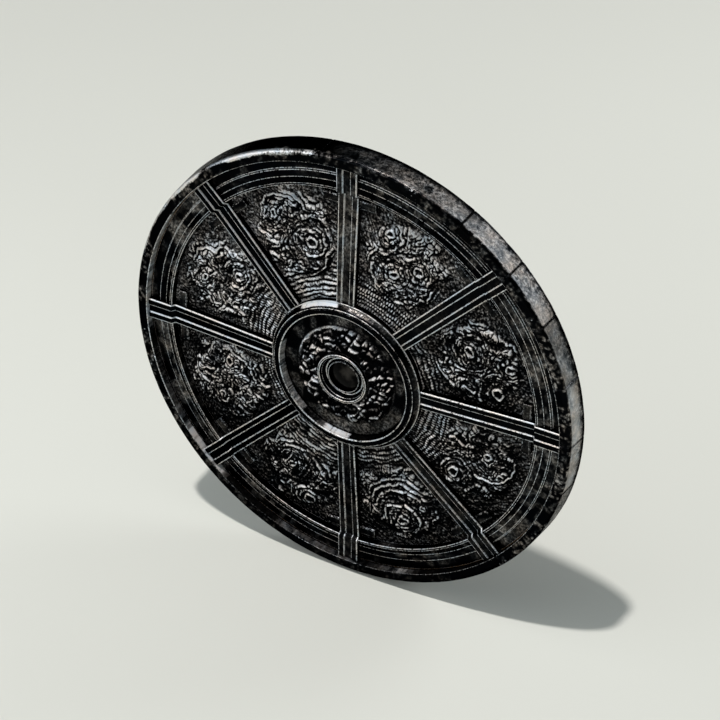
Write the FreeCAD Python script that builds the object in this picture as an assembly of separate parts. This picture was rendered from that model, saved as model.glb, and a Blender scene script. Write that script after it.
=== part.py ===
import FreeCAD, Part
import os
from math import asin, atan2, cos, degrees, hypot, radians, sin, tan

from FreeCAD import Vector

# A round parade shield: a dished board of planks inside a wooden hoop, faced
# with eight embossed iron panels, ribbed and bound in iron. It has a boss in
# front, and a forearm pad, a buckled arm strap, a hand grip and two carrying
# rings behind.
#
# The pieces are built face up on a bench: the shield's axis is Z, the rim's
# back plane is height 0, and the angles run anticlockwise from +X as seen
# from the front. The last step stands the shield up, so that its face looks
# along -Y, +Z is up, and the origin is the middle of the pad's rear face.
# Lengths are in millimetres and angles in degrees.

# Whole shield
shield_radius = 300.0
rim_depth = 34.5
cone_angle = 3.5
rib_count = 8
seat_gap = 0.2
overrun = 5.0

# Iron rim plates, bent over the hoop from behind, round the front and inwards
rim_sheet = 1.5
rim_draft = 2.0
rim_band_width = 15.0
rim_inner_wall = 11.5
rim_roll_radius = 6.0
rim_roll_angles = (0.0, 30.0, 60.0, 90.0)
rim_flange_width = 16.0
rim_seam_gap = 0.4
rim_seam_angles = (0.0, 15.7, 31.0, 44.8, 59.9, 96.7, 147.2, 164.0, 193.8, 208.8, 245.9, 316.6,
                   331.4, 346.5)
rim_pin_radius = 2.5
rim_pin_length = 14.0
rim_pin_fit = 0.1
rim_pin_spacing_angle = 15.0

# Wooden hoop under the plates, bent in two halves
hoop_count = 2
hoop_joint_angle = 10.0
hoop_land = 11.0
hoop_ledge = 10.0

# Stepped cornice between the rim and the panels
cornice_sheet = 1.5
cornice_floor_width = 12.8
cornice_foot_slope = 1.0
cornice_step_height = 2.6
cornice_step_width = 9.0
cornice_bevel_width = 7.0
cornice_crest_rise = 2.7
cornice_crest_width = 3.0
cornice_crest_break = 0.5

# Embossed iron panels between the ribs
panel_edge_height = 17.4
panel_sheet = 1.5
panel_lap = 8.0
panel_set_back = 3.0
panel_parting = 8.0
medallion_rise = 2.4
medallion_length = 104.0
medallion_width = 92.0
medallion_margin = 14.0

# Board of planks
board_thickness = 9.0
board_flat_radius = 152.0
plank_count = 5

# Iron ribs, hollow below, with a channel along the top and an end that laps over the cornice
rib_hub_width = 24.0
rib_rim_width = 27.0
rib_height = 8.5
rib_channel_width = 10.0
rib_channel_depth = 1.4
rib_saddle_rise = 2.5
rib_saddle_lead = 3.0
rib_wall = 2.2

# Studs of the ribs and of the hub ring, and the roves that they are riveted over
stud_radius = 2.5
stud_fit = 0.3
rib_stud_shares = (0.22, 0.54, 0.86)
rove_radius = 8.0
rove_thickness = 1.5
stud_head_radius = 4.4
stud_head_height = 2.2
hub_stud_angles = (67.5, 112.5, 247.5, 292.5)

# Cleats that pin the panels' corners down beside each rib
cleat_set_back = 8.0
cleat_length = 12.0
cleat_reach = 35.0
cleat_height = 5.6
cleat_edge_break = 1.5

# Hub ring round the boss
hub_flange_radius = 101.5
hub_flange_width = 2.0
hub_wall_batter = 4.5
hub_shoulder_width = 1.5
hub_top_width = 6.6
hub_bore_batter = 2.2
hub_stand = 7.6
hub_shoulder_drop = 1.2
hub_edge_break = 0.5
hub_bore_depth = 10.7
hub_ledge_width = 3.0
hub_ledge_fit = 0.1

# Boss plate, with a smooth channel outside and a raised ring of leaves inside
boss_sheet = 2.0
boss_rise = 7.4
boss_collar_lap = 6.5
boss_radius_shares = (1.0, 0.677, 0.556, 0.365, 0.156, 0.0)
boss_rise_shares = (0.0, 0.0, 0.486, 0.865, 1.0, 1.0)

# Eye of the boss: a collar and a polished disc on a turned wooden seat
eye_collar_radius = 33.5
eye_collar_stand = 5.4
eye_collar_land = 2.4
eye_collar_break = 0.6
eye_throat_width = 3.6
eye_throat_drop = 3.6
eye_groove_set_back = 8.6
eye_groove_drop = 9.0
eye_lip_set_back = 12.2
eye_lip_width = 0.9
eye_lip_rise = 4.0
eye_collar_floor = 2.4
eye_disc_crown = 2.2
eye_disc_edge = 1.4
eye_seat_inset = 1.0

# Forearm pad
pad_length = 176.0
pad_height = 90.0
pad_proud = 3.0
pad_corner = 12.0
pad_edge_round = 6.0
pad_clear = 0.3
pad_hem_width = 11.0
pad_hem_thickness = 2.4
pad_long_row_nail_count = 6
pad_short_row_nail_count = 5
pad_nail_head_radius = 4.0
pad_nail_head_height = 2.2
pad_nail_shank_radius = 1.4
pad_nail_length = 9.0
nail_fit = 0.15

# Arm strap and its buckle
strap_place = 86.0
strap_width = 40.0
leather = 3.2
strap_side = 50.0
strap_tab = 32.0
strap_depth = 77.0
strap_small_bend = 5.0
strap_big_bend = 30.0
strap_tail_depth = 18.0
strap_slot_width = 6.0
buckle_place = 14.0
buckle_length = 32.0
buckle_side_clear = 3.0
buckle_bar_radius = 2.0
buckle_wrap = 2.2
buckle_clear = 0.3
tongue_radius = 1.7
tongue_hub_wall = 1.9
tongue_hub_width = 5.4
tongue_tip = 4.0
tongue_swing = 40.0
keeper_width = 12.0
keeper_sheet = 2.0
keeper_depth = 28.0

# Rivets of the strap and of the grip's brackets
rivet_head_radius = 5.5
rivet_head_height = 2.4
rivet_shank_radius = 2.4
rivet_fit = 0.15
rivet_spread = 22.0
strap_rivet_inset = 12.0

# Hand grip on its rod between two brackets
grip_place = -105.0
grip_stand = 45.0
grip_length = 104.0
grip_middle_radius = 14.0
grip_end_radius = 11.0
grip_rod_radius = 4.0
grip_rod_fit = 0.2
grip_rod_head_radius = 7.0
grip_rod_head_length = 3.0
bracket_sheet = 5.0
bracket_width = 24.0
bracket_foot = 26.0
bracket_clear = 1.0
bracket_rivet_inset = 13.0
bracket_rivet_spread = 13.0

# Carrying rings and their staples
carry_step = 52.0
carry_lift = 34.0
carry_ring_radius = 15.5
carry_wire_radius = 2.5
carry_clear = 0.6
staple_wire_radius = 2.2
staple_leg_depth = 8.0
staple_fit = 0.1

ORIGIN = Vector(0, 0, 0)
AXIS = Vector(0, 0, 1)
ACROSS = Vector(1, 0, 0)
UPWARDS = Vector(0, 1, 0)


# Radii that follow from the rim inwards
rim_front_radius = shield_radius - rim_draft
rim_inner_radius = rim_front_radius - rim_band_width
rim_flange_radius = shield_radius - rim_flange_width
cornice_outer_radius = rim_inner_radius - seat_gap
cornice_foot_radius = rim_inner_radius - cornice_floor_width
cornice_step_radius = cornice_foot_radius - cornice_foot_slope
cornice_bevel_radius = cornice_step_radius - cornice_step_width
cornice_crest_radius = cornice_bevel_radius - cornice_bevel_width
cornice_inner_radius = cornice_crest_radius - cornice_crest_width
board_radius = rim_inner_radius - hoop_land
hoop_inner_radius = board_radius - hoop_ledge
panel_outer_radius = cornice_inner_radius + panel_lap
hub_wall_radius = hub_flange_radius - hub_flange_width
hub_wall_top_radius = hub_wall_radius - hub_wall_batter
hub_shoulder_radius = hub_wall_top_radius - hub_shoulder_width
hub_bore_radius = hub_shoulder_radius - hub_top_width
hub_bore_foot_radius = hub_bore_radius - hub_bore_batter
hub_ledge_radius = hub_bore_foot_radius - hub_ledge_width
boss_hole_radius = eye_collar_radius - boss_collar_lap
eye_lip_radius = eye_collar_radius - eye_lip_set_back
eye_seat_radius = boss_hole_radius - eye_seat_inset
panel_inner_radius = hub_bore_radius + panel_set_back
bracket_end = grip_length / 2 + bracket_clear + bracket_sheet + bracket_foot
carry_place = carry_step - grip_place
carry_rise = bracket_end + carry_lift
carry_radius = hypot(carry_place, carry_rise)
cleat_outer_radius = cornice_inner_radius - cleat_set_back
cleat_inner_radius = cleat_outer_radius - cleat_length
rib_step_angle = 360 / rib_count

# Heights of the steps above the rim's back plane
slope = tan(radians(cone_angle))
cornice_floor = rim_depth - rim_inner_wall
cornice_ledge = cornice_floor - cornice_sheet
cornice_step = cornice_floor + cornice_step_height
cornice_crest = cornice_step + cornice_crest_rise
rib_saddle_top = cornice_crest + rib_saddle_rise


def rim_outer(height):
    """Radius of the rim's outer wall at a height."""
    return shield_radius - rim_draft * height / rim_depth


def panel_top(radius):
    """Height of the panels' ground at a radius."""
    return panel_edge_height + (cornice_inner_radius - radius) * slope


def board_front(radius):
    """Height of the board's dished face, flat under the boss."""
    return panel_top(max(radius, panel_inner_radius - seat_gap)) - panel_sheet - seat_gap


def board_back(radius):
    """Height of the board's back, flat behind the forearm."""
    return panel_top(max(radius, board_flat_radius)) - panel_sheet - seat_gap - board_thickness


def rib_top(radius):
    """Height of the ribs' rails at a radius."""
    return panel_top(radius) + rib_height


def behind(depth):
    """Height of a point that lies this far behind the flat of the board's back."""
    return board_back(0) - depth


hub_flange = rib_top(hub_flange_radius)
hub_top = hub_flange + hub_stand
boss_floor = hub_top - hub_bore_depth
boss_inner = boss_floor + boss_rise
collar_top = boss_inner + eye_collar_stand
eye_groove = collar_top - eye_groove_drop
eye_seat_top = eye_groove - eye_collar_floor
pad_depth = behind(0) + pad_proud


# Shapes that many pieces share

def ring(outline, start=0, sweep=360):
    """Turn a closed outline of (radius, height) points about the axis."""
    points = [Vector(radius, 0, height) for radius, height in outline]
    solid = Part.Face(Part.makePolygon(points + points[:1])).revolve(ORIGIN, AXIS, sweep)
    solid.rotate(ORIGIN, AXIS, start)
    return solid


def side_slab(outline, left, right):
    """Spread an outline of (x, z) points across the width from y = left to y = right."""
    points = [Vector(along, left, height) for along, height in outline]
    face = Part.Face(Part.makePolygon(points + points[:1]))
    return face.extrude(UPWARDS * (right - left))


def plan_slab(outline, bottom, top):
    """Raise an outline of (x, y) points from one height to another."""
    points = [Vector(along, across, bottom) for along, across in outline]
    face = Part.Face(Part.makePolygon(points + points[:1]))
    return face.extrude(AXIS * (top - bottom))


def box(low, high):
    """A block between two corners."""
    size = high - low
    return Part.makeBox(size.x, size.y, size.z, low)


def rod(radius, start, end):
    """A round bar from one point to another."""
    return Part.makeCylinder(radius, (end - start).Length, start, end - start)


def domed_head(radius, height, start, along):
    """A round-topped rivet or nail head, its flat side on start."""
    ball_radius = (radius * radius + height * height) / (2 * height)
    ball = Part.makeSphere(ball_radius, start + along * (height - ball_radius))
    return ball.common(rod(radius, start, start + along * height))


def turned(shape, angle):
    """A copy of a shape, turned about the shield's axis."""
    copy = shape.copy()
    copy.rotate(ORIGIN, AXIS, angle)
    return copy


def rounded_face(corners, radii):
    """A flat face through corners, each rounded to its own radius, or left sharp at 0."""
    edges = []
    ends = []
    for index, corner in enumerate(corners):
        before = (corners[index - 1] - corner).normalize()
        after = (corners[(index + 1) % len(corners)] - corner).normalize()
        if radii[index] == 0:
            ends.append((corner, corner))
            continue
        half = before.getAngle(after) / 2
        reach = radii[index] / tan(half)
        inward = (before + after).normalize()
        middle = corner + inward * (radii[index] / sin(half) - radii[index])
        first = corner + before * reach
        last = corner + after * reach
        edges.append(Part.Arc(first, middle, last).toShape())
        ends.append((first, last))
    for index, (_, last) in enumerate(ends):
        following = ends[(index + 1) % len(ends)][0]
        edges.append(Part.LineSegment(last, following).toShape())
    return Part.Face(Part.Wire(Part.__sortEdges__(edges)))


def strap_strip(path, bends, side, left, right):
    """Leather that follows a path of (y, depth) points, its thickness on one side of the path.

    The side is 1 for the left of the path's direction and -1 for its right. The bends are
    the radii of the leather's inner side at the path's corners.
    """
    flat = [Vector(across, depth, 0) for across, depth in path]
    runs = [(b - a).normalize() for a, b in zip(flat, flat[1:])]
    normals = [Vector(-run.y, run.x, 0) * side for run in runs]
    near = [(flat[0], 0)]
    far = [(flat[0] + normals[0] * leather, 0)]
    for index in range(1, len(flat) - 1):
        first, second = normals[index - 1], normals[index]
        miter = (first + second) * (leather / (1 + first.dot(second)))
        inside = runs[index - 1].cross(runs[index]).z * side > 0
        near.append((flat[index], bends[index - 1] + (leather if inside else 0)))
        far.append((flat[index] + miter, bends[index - 1] + (0 if inside else leather)))
    near.append((flat[-1], 0))
    far.append((flat[-1] + normals[-1] * leather, 0))
    loop = near + far[::-1]
    corners = [Vector(left, point.x, behind(point.y)) for point, _ in loop]
    face = rounded_face(corners, [radius for _, radius in loop])
    return face.extrude(ACROSS * (right - left))


def lengthwise(first, last, count):
    """Evenly spaced places from first to last."""
    return [first + (last - first) * index / (count - 1) for index in range(count)]


# Fastener places

def rib_stud_places():
    """Radii of a rib's studs, as shares of the way from the hub to the cornice."""
    span = cornice_inner_radius - hub_flange_radius
    return [hub_flange_radius + share * span for share in rib_stud_shares]


def hub_stud_radius():
    """Radius of the hub ring's studs, through the middle of its foot on the board."""
    return (hub_ledge_radius + panel_inner_radius - seat_gap) / 2


def stud_places():
    """Radius and angle of every stud through the board."""
    ribs = [(radius, index * rib_step_angle) for index in range(rib_count)
            for radius in rib_stud_places()]
    return ribs + [(hub_stud_radius(), angle) for angle in hub_stud_angles]


def polar(radius, angle, height=0):
    """A point at a radius, an angle and a height."""
    return Vector(radius * cos(radians(angle)), radius * sin(radians(angle)), height)


def stud_with_head(radius, angle, top):
    """A stud through the board, riveted over its rove at the back."""
    tilt = 0 if radius < board_flat_radius else cone_angle
    backwards = FreeCAD.Rotation(polar(1, angle + 90), tilt).multVec(-AXIS)
    surface = polar(radius, angle, board_back(radius))
    seat = surface + backwards * (rove_thickness + seat_gap)
    shank = rod(stud_radius, seat, polar(radius, angle, top))
    return shank.fuse(domed_head(stud_head_radius, stud_head_height, seat, backwards))


def rove(radius, angle):
    """The washer under a stud's riveted end, flat on the board's back."""
    tilt = 0 if radius < board_flat_radius else cone_angle
    backwards = FreeCAD.Rotation(polar(1, angle + 90), tilt).multVec(-AXIS)
    start = polar(radius, angle, board_back(radius)) + backwards * seat_gap / 2
    disc = rod(rove_radius, start, start + backwards * rove_thickness)
    hole = rod(stud_radius + stud_fit, polar(radius, angle, behind(-board_thickness)),
               polar(radius, angle, behind(board_thickness)))
    return disc.cut(hole)


def pad_nail_places():
    """Places of the pad's nails, in rows that share their corner nails."""
    half_length = pad_length / 2 - pad_hem_width / 2
    half_height = pad_height / 2 - pad_hem_width / 2
    places = []
    for along in lengthwise(-half_length, half_length, pad_long_row_nail_count):
        places += [(along, half_height), (along, -half_height)]
    for across in lengthwise(-half_height, half_height, pad_short_row_nail_count)[1:-1]:
        places += [(half_length, across), (-half_length, across)]
    return places


def strap_rivet_places():
    """Places of the rivets in the strap's upper and lower tabs."""
    across = strap_side + strap_tab - strap_rivet_inset
    return [(strap_place + sway * rivet_spread / 2, side * across)
            for side in (1, -1) for sway in (1, -1)]


def bracket_rivet_places():
    """Places of the rivets in the brackets' feet."""
    across = bracket_end - bracket_rivet_inset
    return [(grip_place + sway * bracket_rivet_spread / 2, side * across)
            for side in (1, -1) for sway in (1, -1)]


def staple_leg_places():
    """Places of the staples' legs, one above the other beside each ring."""
    half = carry_wire_radius + carry_clear + staple_wire_radius
    return [(side * carry_place, carry_rise + step * half) for side in (1, -1) for step in (1, -1)]


# Iron rim

def rim_roll(inset):
    """The rolled corner from the rim's wall to its front band, this far below the surface."""
    height = rim_depth - rim_roll_radius
    radius = rim_outer(height) - rim_roll_radius
    bend = rim_roll_radius - inset
    return [(radius + bend * cos(radians(angle)), height + bend * sin(radians(angle)))
            for angle in rim_roll_angles]


def rim_plate(start, end):
    """One bent plate of the rim, between two seams."""
    face = [(rim_flange_radius, 0), (shield_radius, 0)] + rim_roll(0)
    face += [(rim_inner_radius, rim_depth), (rim_inner_radius, cornice_ledge + seat_gap)]
    lining = [(rim_inner_radius + rim_sheet, cornice_ledge + seat_gap),
              (rim_inner_radius + rim_sheet, rim_depth - rim_sheet)]
    lining += rim_roll(rim_sheet)[::-1]
    lining += [(rim_outer(rim_sheet) - rim_sheet, rim_sheet), (rim_flange_radius, rim_sheet)]
    trim = 90 * rim_seam_gap / (shield_radius * radians(180))
    plate = ring(face + lining, start + trim, end - start - 2 * trim)
    for angle in rim_pin_angles(start, end):
        plate = plate.cut(rim_pin(angle, rim_pin_fit, overrun))
    return plate


def rim_pin_angles(start, end):
    """Angles of the pins that hold one rim plate."""
    count = max(2, round((end - start) / rim_pin_spacing_angle))
    return [start + (end - start) * (index + 0.5) / count for index in range(count)]


def rim_pin(angle, fit=0, past=0):
    """A pin through the plate's back flange into the hoop, flush at the back."""
    radius = (rim_flange_radius + shield_radius) / 2 - rim_sheet / 2
    return rod(rim_pin_radius + fit, polar(radius, angle, -past),
               polar(radius, angle, rim_pin_length + past * fit))


def rim_spans():
    """The start and the end of each rim plate."""
    return list(zip(rim_seam_angles, rim_seam_angles[1:] + (rim_seam_angles[0] + 360,)))


def hoop_part(start, end):
    """One bent length of the wooden hoop, rebated for the board and the cornice."""
    inset = rim_sheet + seat_gap
    outside = [(hoop_inner_radius, 0), (rim_flange_radius - seat_gap, 0),
               (rim_flange_radius - seat_gap, inset), (rim_outer(inset) - inset, inset)]
    outside += rim_roll(inset)
    rebate = [(rim_inner_radius + inset, rim_depth - inset),
              (rim_inner_radius + inset, cornice_ledge), (board_radius + seat_gap, cornice_ledge),
              (board_radius + seat_gap, board_back(board_radius) - seat_gap),
              (hoop_inner_radius, board_back(hoop_inner_radius) - seat_gap)]
    part = ring(outside + rebate, start, end - start)
    for plate_start, plate_end in rim_spans():
        for angle in rim_pin_angles(plate_start, plate_end):
            part = part.cut(rim_pin(angle, rim_pin_fit, overrun))
    return part


# Cornice

def cornice_face():
    """The cornice's front, from its inner wall out to the rim."""
    return [(cornice_inner_radius, cornice_crest - cornice_crest_break),
            (cornice_inner_radius + cornice_crest_break, cornice_crest),
            (cornice_crest_radius, cornice_crest), (cornice_bevel_radius, cornice_step),
            (cornice_step_radius, cornice_step), (cornice_foot_radius, cornice_floor),
            (cornice_outer_radius, cornice_floor)]


def cornice():
    """The stepped moulding of sheet iron that covers the panels' outer edge."""
    under = cornice_sheet
    inner = cornice_inner_radius
    lining = [(cornice_outer_radius, cornice_ledge), (cornice_foot_radius - under, cornice_ledge),
              (cornice_step_radius - under, cornice_step - under),
              (cornice_bevel_radius, cornice_step - under),
              (cornice_crest_radius, cornice_crest - under),
              (inner + under, cornice_crest - under),
              (inner + under, panel_top(inner + under) + seat_gap)]
    return ring([(inner, panel_top(inner) + seat_gap)] + cornice_face() + lining)


def cornice_room():
    """The space that a rib's lapping end leaves for the cornice."""
    face = [(radius, height + seat_gap) for radius, height in cornice_face()]
    inner = cornice_inner_radius - seat_gap
    raised = [(inner, 0), (inner, face[0][1])] + face[1:-1]
    past = rim_inner_radius + overrun
    return ring(raised + [(past, cornice_floor + seat_gap), (past, 0)])


# Panels

def wedge(offset, bottom, top):
    """The room between two neighbouring ribs, this far from each rib's middle."""
    half_turn = rib_step_angle / 2
    apex = Vector(offset / sin(radians(half_turn)), 0, 0)
    reach = 2 * shield_radius
    corners = [apex] + [apex + polar(reach, angle) for angle in (-half_turn, 0, half_turn)]
    return plan_slab([(corner.x, corner.y) for corner in corners], bottom, top)


def panel():
    """One embossed panel, its medallion raised from behind as a plain low table."""
    ground = ring([(panel_inner_radius, panel_top(panel_inner_radius) - panel_sheet),
                   (panel_outer_radius, panel_top(panel_outer_radius) - panel_sheet),
                   (panel_outer_radius, panel_top(panel_outer_radius)),
                   (panel_inner_radius, panel_top(panel_inner_radius))])
    table = panel_layer(-panel_sheet, medallion_rise).common(medallion_column(0))
    hollow = panel_layer(-panel_sheet - overrun, medallion_rise - panel_sheet)
    hollow = hollow.common(medallion_column(panel_sheet))
    sheet = ground.common(wedge(panel_parting / 2, 0, rim_depth))
    return turned(sheet.fuse(table).cut(hollow).removeSplitter(), rib_step_angle / 2)


def panel_layer(low, high):
    """A layer that follows the panels' ground, between two heights above it."""
    near, far = hub_bore_radius, cornice_outer_radius
    return ring([(near, panel_top(near) + low), (far, panel_top(far) + low),
                 (far, panel_top(far) + high), (near, panel_top(near) + high)])


def medallion_column(inset):
    """An upright column on the medallion's oval, drawn in by an inset."""
    middle = Vector(cornice_inner_radius - medallion_margin - medallion_length / 2, 0, 0)
    half_length = medallion_length / 2 - inset
    half_width = medallion_width / 2 - inset
    oval = Part.Ellipse(middle, max(half_length, half_width),
                        min(half_length, half_width)).toShape()
    if half_width > half_length:
        oval.rotate(middle, AXIS, 90)
    return Part.Face(Part.Wire([oval])).extrude(AXIS * rim_depth)


# Ribs

def rib_half_width(radius):
    """Half of a rib's width at a radius."""
    share = (radius - hub_flange_radius) / (cornice_inner_radius - hub_flange_radius)
    return (rib_hub_width + (rib_rim_width - rib_hub_width) * share) / 2


def rib_face(drop, start, end):
    """The ribs' top line, lowered by a drop, from one radius to another."""
    knee = cornice_inner_radius - seat_gap
    return [(start, rib_top(start) - drop), (knee - rib_saddle_lead, rib_top(knee) - drop),
            (knee, rib_saddle_top - drop), (end, rib_saddle_top - drop)]


def rib_hollow():
    """The space under a rib's web, between its side walls."""
    start = hub_flange_radius + seat_gap + rib_wall
    end = cornice_inner_radius - rib_saddle_lead - rib_wall
    drop = rib_channel_depth + rib_wall
    side = [(start, rib_top(start) - drop), (end, rib_top(end) - drop), (end, 0), (start, 0)]
    near, far = rib_half_width(start) - rib_wall, rib_half_width(end) - rib_wall
    plan = [(start, -near), (end, -far), (end, far), (start, near)]
    return side_slab(side, -far, far).common(plan_slab(plan, 0, rim_depth))


def rib():
    """One rib along +X: a channelled bar that laps over the cornice, with its studs."""
    start = hub_bore_radius
    end = rim_inner_radius + overrun
    side = rib_face(0, start, end) + [(end, panel_top(end)), (start, panel_top(start) + seat_gap)]
    half_start, half_end = rib_half_width(start), rib_half_width(end)
    plan = [(start, -half_start), (end, -half_end), (end, half_end), (start, half_start)]
    bar = side_slab(side, -half_end - overrun, half_end + overrun)
    bar = bar.common(plan_slab(plan, 0, rim_depth + hub_stand + overrun))
    high = rib_top(0) + overrun
    groove = rib_face(rib_channel_depth, start - overrun, end) + [(end, high),
                                                                  (start - overrun, high)]
    bar = bar.cut(side_slab(groove, -rib_channel_width / 2, rib_channel_width / 2))
    bar = bar.cut(rib_hollow()).cut(cornice_room())
    inner = hub_flange_radius + seat_gap
    outer = rim_inner_radius - seat_gap
    bar = bar.common(ring([(inner, 0), (outer, 0), (outer, high), (inner, high)]))
    for radius in rib_stud_places():
        bar = bar.fuse(stud_with_head(radius, 0, rib_top(radius) - rib_channel_depth * 2))
    return bar.removeSplitter()


def rib_cleats():
    """The bevelled blocks that stand beside every rib, two for each."""
    foot_in = panel_top(cleat_inner_radius) + seat_gap
    foot_out = panel_top(cleat_outer_radius) + seat_gap
    top = panel_top((cleat_inner_radius + cleat_outer_radius) / 2) + cleat_height
    bevel = cleat_edge_break
    outline = [(cleat_inner_radius, foot_in), (cleat_outer_radius, foot_out),
               (cleat_outer_radius, top - bevel), (cleat_outer_radius - bevel, top),
               (cleat_inner_radius + bevel, top), (cleat_inner_radius, top - bevel)]
    near = rib_half_width(cleat_outer_radius) + seat_gap
    blocks = []
    for index in range(rib_count):
        for left, right in ((near, cleat_reach), (-cleat_reach, -near)):
            blocks.append(turned(side_slab(outline, left, right), index * rib_step_angle))
    return Part.makeCompound(blocks)


# Hub ring, boss and eye

def hub_ring():
    """The raised ring round the boss, with its studs through the board."""
    ledge = boss_floor - boss_sheet
    foot = board_front(0)
    wall_top = hub_top - hub_shoulder_drop
    heel = panel_inner_radius - seat_gap
    outline = [(hub_ledge_radius, foot), (hub_ledge_radius, ledge), (hub_bore_foot_radius, ledge),
               (hub_bore_foot_radius, boss_floor), (hub_bore_radius, hub_top - hub_edge_break),
               (hub_bore_radius + hub_edge_break, hub_top),
               (hub_shoulder_radius - hub_edge_break, hub_top),
               (hub_shoulder_radius, wall_top),
               (hub_wall_top_radius - hub_edge_break, wall_top),
               (hub_wall_top_radius, wall_top - hub_edge_break), (hub_wall_radius, hub_flange),
               (hub_flange_radius, hub_flange),
               (hub_flange_radius, panel_top(hub_flange_radius) + seat_gap),
               (heel, panel_top(heel) + seat_gap), (heel, foot)]
    body = ring(outline)
    for angle in hub_stud_angles:
        body = body.fuse(stud_with_head(hub_stud_radius(), angle, foot + hub_ledge_width / 2))
    return body.removeSplitter()


def boss_plate():
    """The sheet that closes the hub ring, raised towards the eye."""
    width = hub_bore_foot_radius - hub_ledge_fit - boss_hole_radius
    face = [(boss_hole_radius + out * width, boss_floor + up * boss_rise)
            for out, up in zip(boss_radius_shares, boss_rise_shares)]
    lining = [(radius, height - boss_sheet) for radius, height in reversed(face)]
    return ring(face + lining)


def eye_collar():
    """The collar round the eye: a raised rim, a groove and a thin inner lip."""
    throat_radius = eye_collar_radius - eye_collar_land - eye_collar_break
    groove_radius = eye_collar_radius - eye_groove_set_back
    lip_top = eye_groove + eye_lip_rise
    lip_inner = eye_lip_radius - eye_lip_width
    stem = boss_hole_radius - seat_gap
    outline = [(stem, eye_seat_top), (stem, boss_inner + seat_gap),
               (eye_collar_radius, boss_inner + seat_gap),
               (eye_collar_radius, collar_top - eye_collar_break),
               (eye_collar_radius - eye_collar_break, collar_top), (throat_radius, collar_top),
               (throat_radius - eye_throat_width / 2, collar_top - eye_throat_drop),
               (groove_radius, eye_groove), (eye_lip_radius, lip_top - eye_lip_width),
               (eye_lip_radius - eye_lip_width / 2, lip_top), (lip_inner, lip_top),
               (lip_inner, eye_seat_top)]
    return ring(outline)


def eye_disc():
    """The polished, slightly domed disc in the collar."""
    radius = eye_lip_radius - eye_lip_width - seat_gap
    start = Vector(0, 0, eye_seat_top)
    edge = start + AXIS * eye_disc_edge
    base = rod(radius, start, edge)
    return base.fuse(domed_head(radius, eye_disc_crown, edge, AXIS)).removeSplitter()


def eye_seat():
    """The turned block on the board that carries the collar and the disc."""
    return rod(eye_seat_radius, Vector(0, 0, board_front(0)), Vector(0, 0, eye_seat_top))


# Board

def board():
    """The whole dished board, before it is parted into planks."""
    flat_back = board_back(0)
    heel = panel_inner_radius - seat_gap
    disc = ring([(0, flat_back), (board_flat_radius, flat_back),
                 (board_radius, board_back(board_radius)),
                 (board_radius, board_front(board_radius)), (heel, board_front(heel)),
                 (0, board_front(0))])
    return disc.cut(Part.makeCompound(board_holes()))


def board_holes():
    """Every hole through or into the board."""
    low, high = behind(board_thickness), rim_depth
    holes = [rod(stud_radius + stud_fit, polar(radius, angle, low), polar(radius, angle, high))
             for radius, angle in stud_places()]
    for across, up in strap_rivet_places() + bracket_rivet_places():
        holes.append(rod(rivet_shank_radius + rivet_fit, Vector(across, up, low),
                         Vector(across, up, high)))
    nail_end = behind(pad_clear + pad_hem_thickness - pad_nail_length - seat_gap)
    for across, up in pad_nail_places():
        holes.append(rod(pad_nail_shank_radius + nail_fit, Vector(across, up, low),
                         Vector(across, up, nail_end)))
    for across, up in staple_leg_places():
        holes.append(rod(staple_wire_radius + staple_fit, Vector(across, up, low),
                         Vector(across, up, staple_foot() + staple_fit)))
    return holes


def planks():
    """The board's planks, edge to edge, from left to right."""
    whole = board()
    width = 2 * board_radius / plank_count
    parts = []
    for index in range(plank_count):
        left = -board_radius + index * width
        low = Vector(left, -board_radius - overrun, -overrun)
        high = Vector(left + width, board_radius + overrun, rim_depth + overrun)
        parts.append(whole.common(box(low, high)))
    return parts


# Forearm pad

def rounded_block(length, height, corner, front, back):
    """A block with rounded corners, centred behind the board, between two depths."""
    x, y = length / 2, height / 2
    corners = [Vector(-x, -y, behind(front)), Vector(x, -y, behind(front)),
               Vector(x, y, behind(front)), Vector(-x, y, behind(front))]
    return rounded_face(corners, [corner] * 4).extrude(AXIS * (front - back))


def arm_pad():
    """The stuffed pad, on a nailed leather hem."""
    hem_back = pad_clear + pad_hem_thickness
    hem = rounded_block(pad_length, pad_height, pad_corner, pad_clear, hem_back)
    cushion = rounded_block(pad_length - 2 * pad_hem_width, pad_height - 2 * pad_hem_width,
                            pad_corner, pad_clear, pad_depth)
    rear = [edge for edge in cushion.Edges
            if abs(edge.BoundBox.ZMin - behind(pad_depth)) < seat_gap
            and abs(edge.BoundBox.ZMax - behind(pad_depth)) < seat_gap]
    cushion = cushion.makeFillet(pad_edge_round, rear)
    pad = hem.fuse(cushion)
    for across, up in pad_nail_places():
        pad = pad.cut(rod(pad_nail_shank_radius + nail_fit, Vector(across, up, behind(0)),
                          Vector(across, up, behind(pad_depth))))
    return pad.removeSplitter()


def pad_nails():
    """Dome-headed nails through the pad's hem."""
    seat = pad_clear + pad_hem_thickness
    nails = []
    for across, up in pad_nail_places():
        start = Vector(across, up, behind(seat))
        shank = rod(pad_nail_shank_radius, start, start + AXIS * pad_nail_length)
        head = domed_head(pad_nail_head_radius, pad_nail_head_height, start, -AXIS)
        nails.append(shank.fuse(head).removeSplitter())
    return Part.makeCompound(nails)


# Arm strap and buckle

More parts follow.
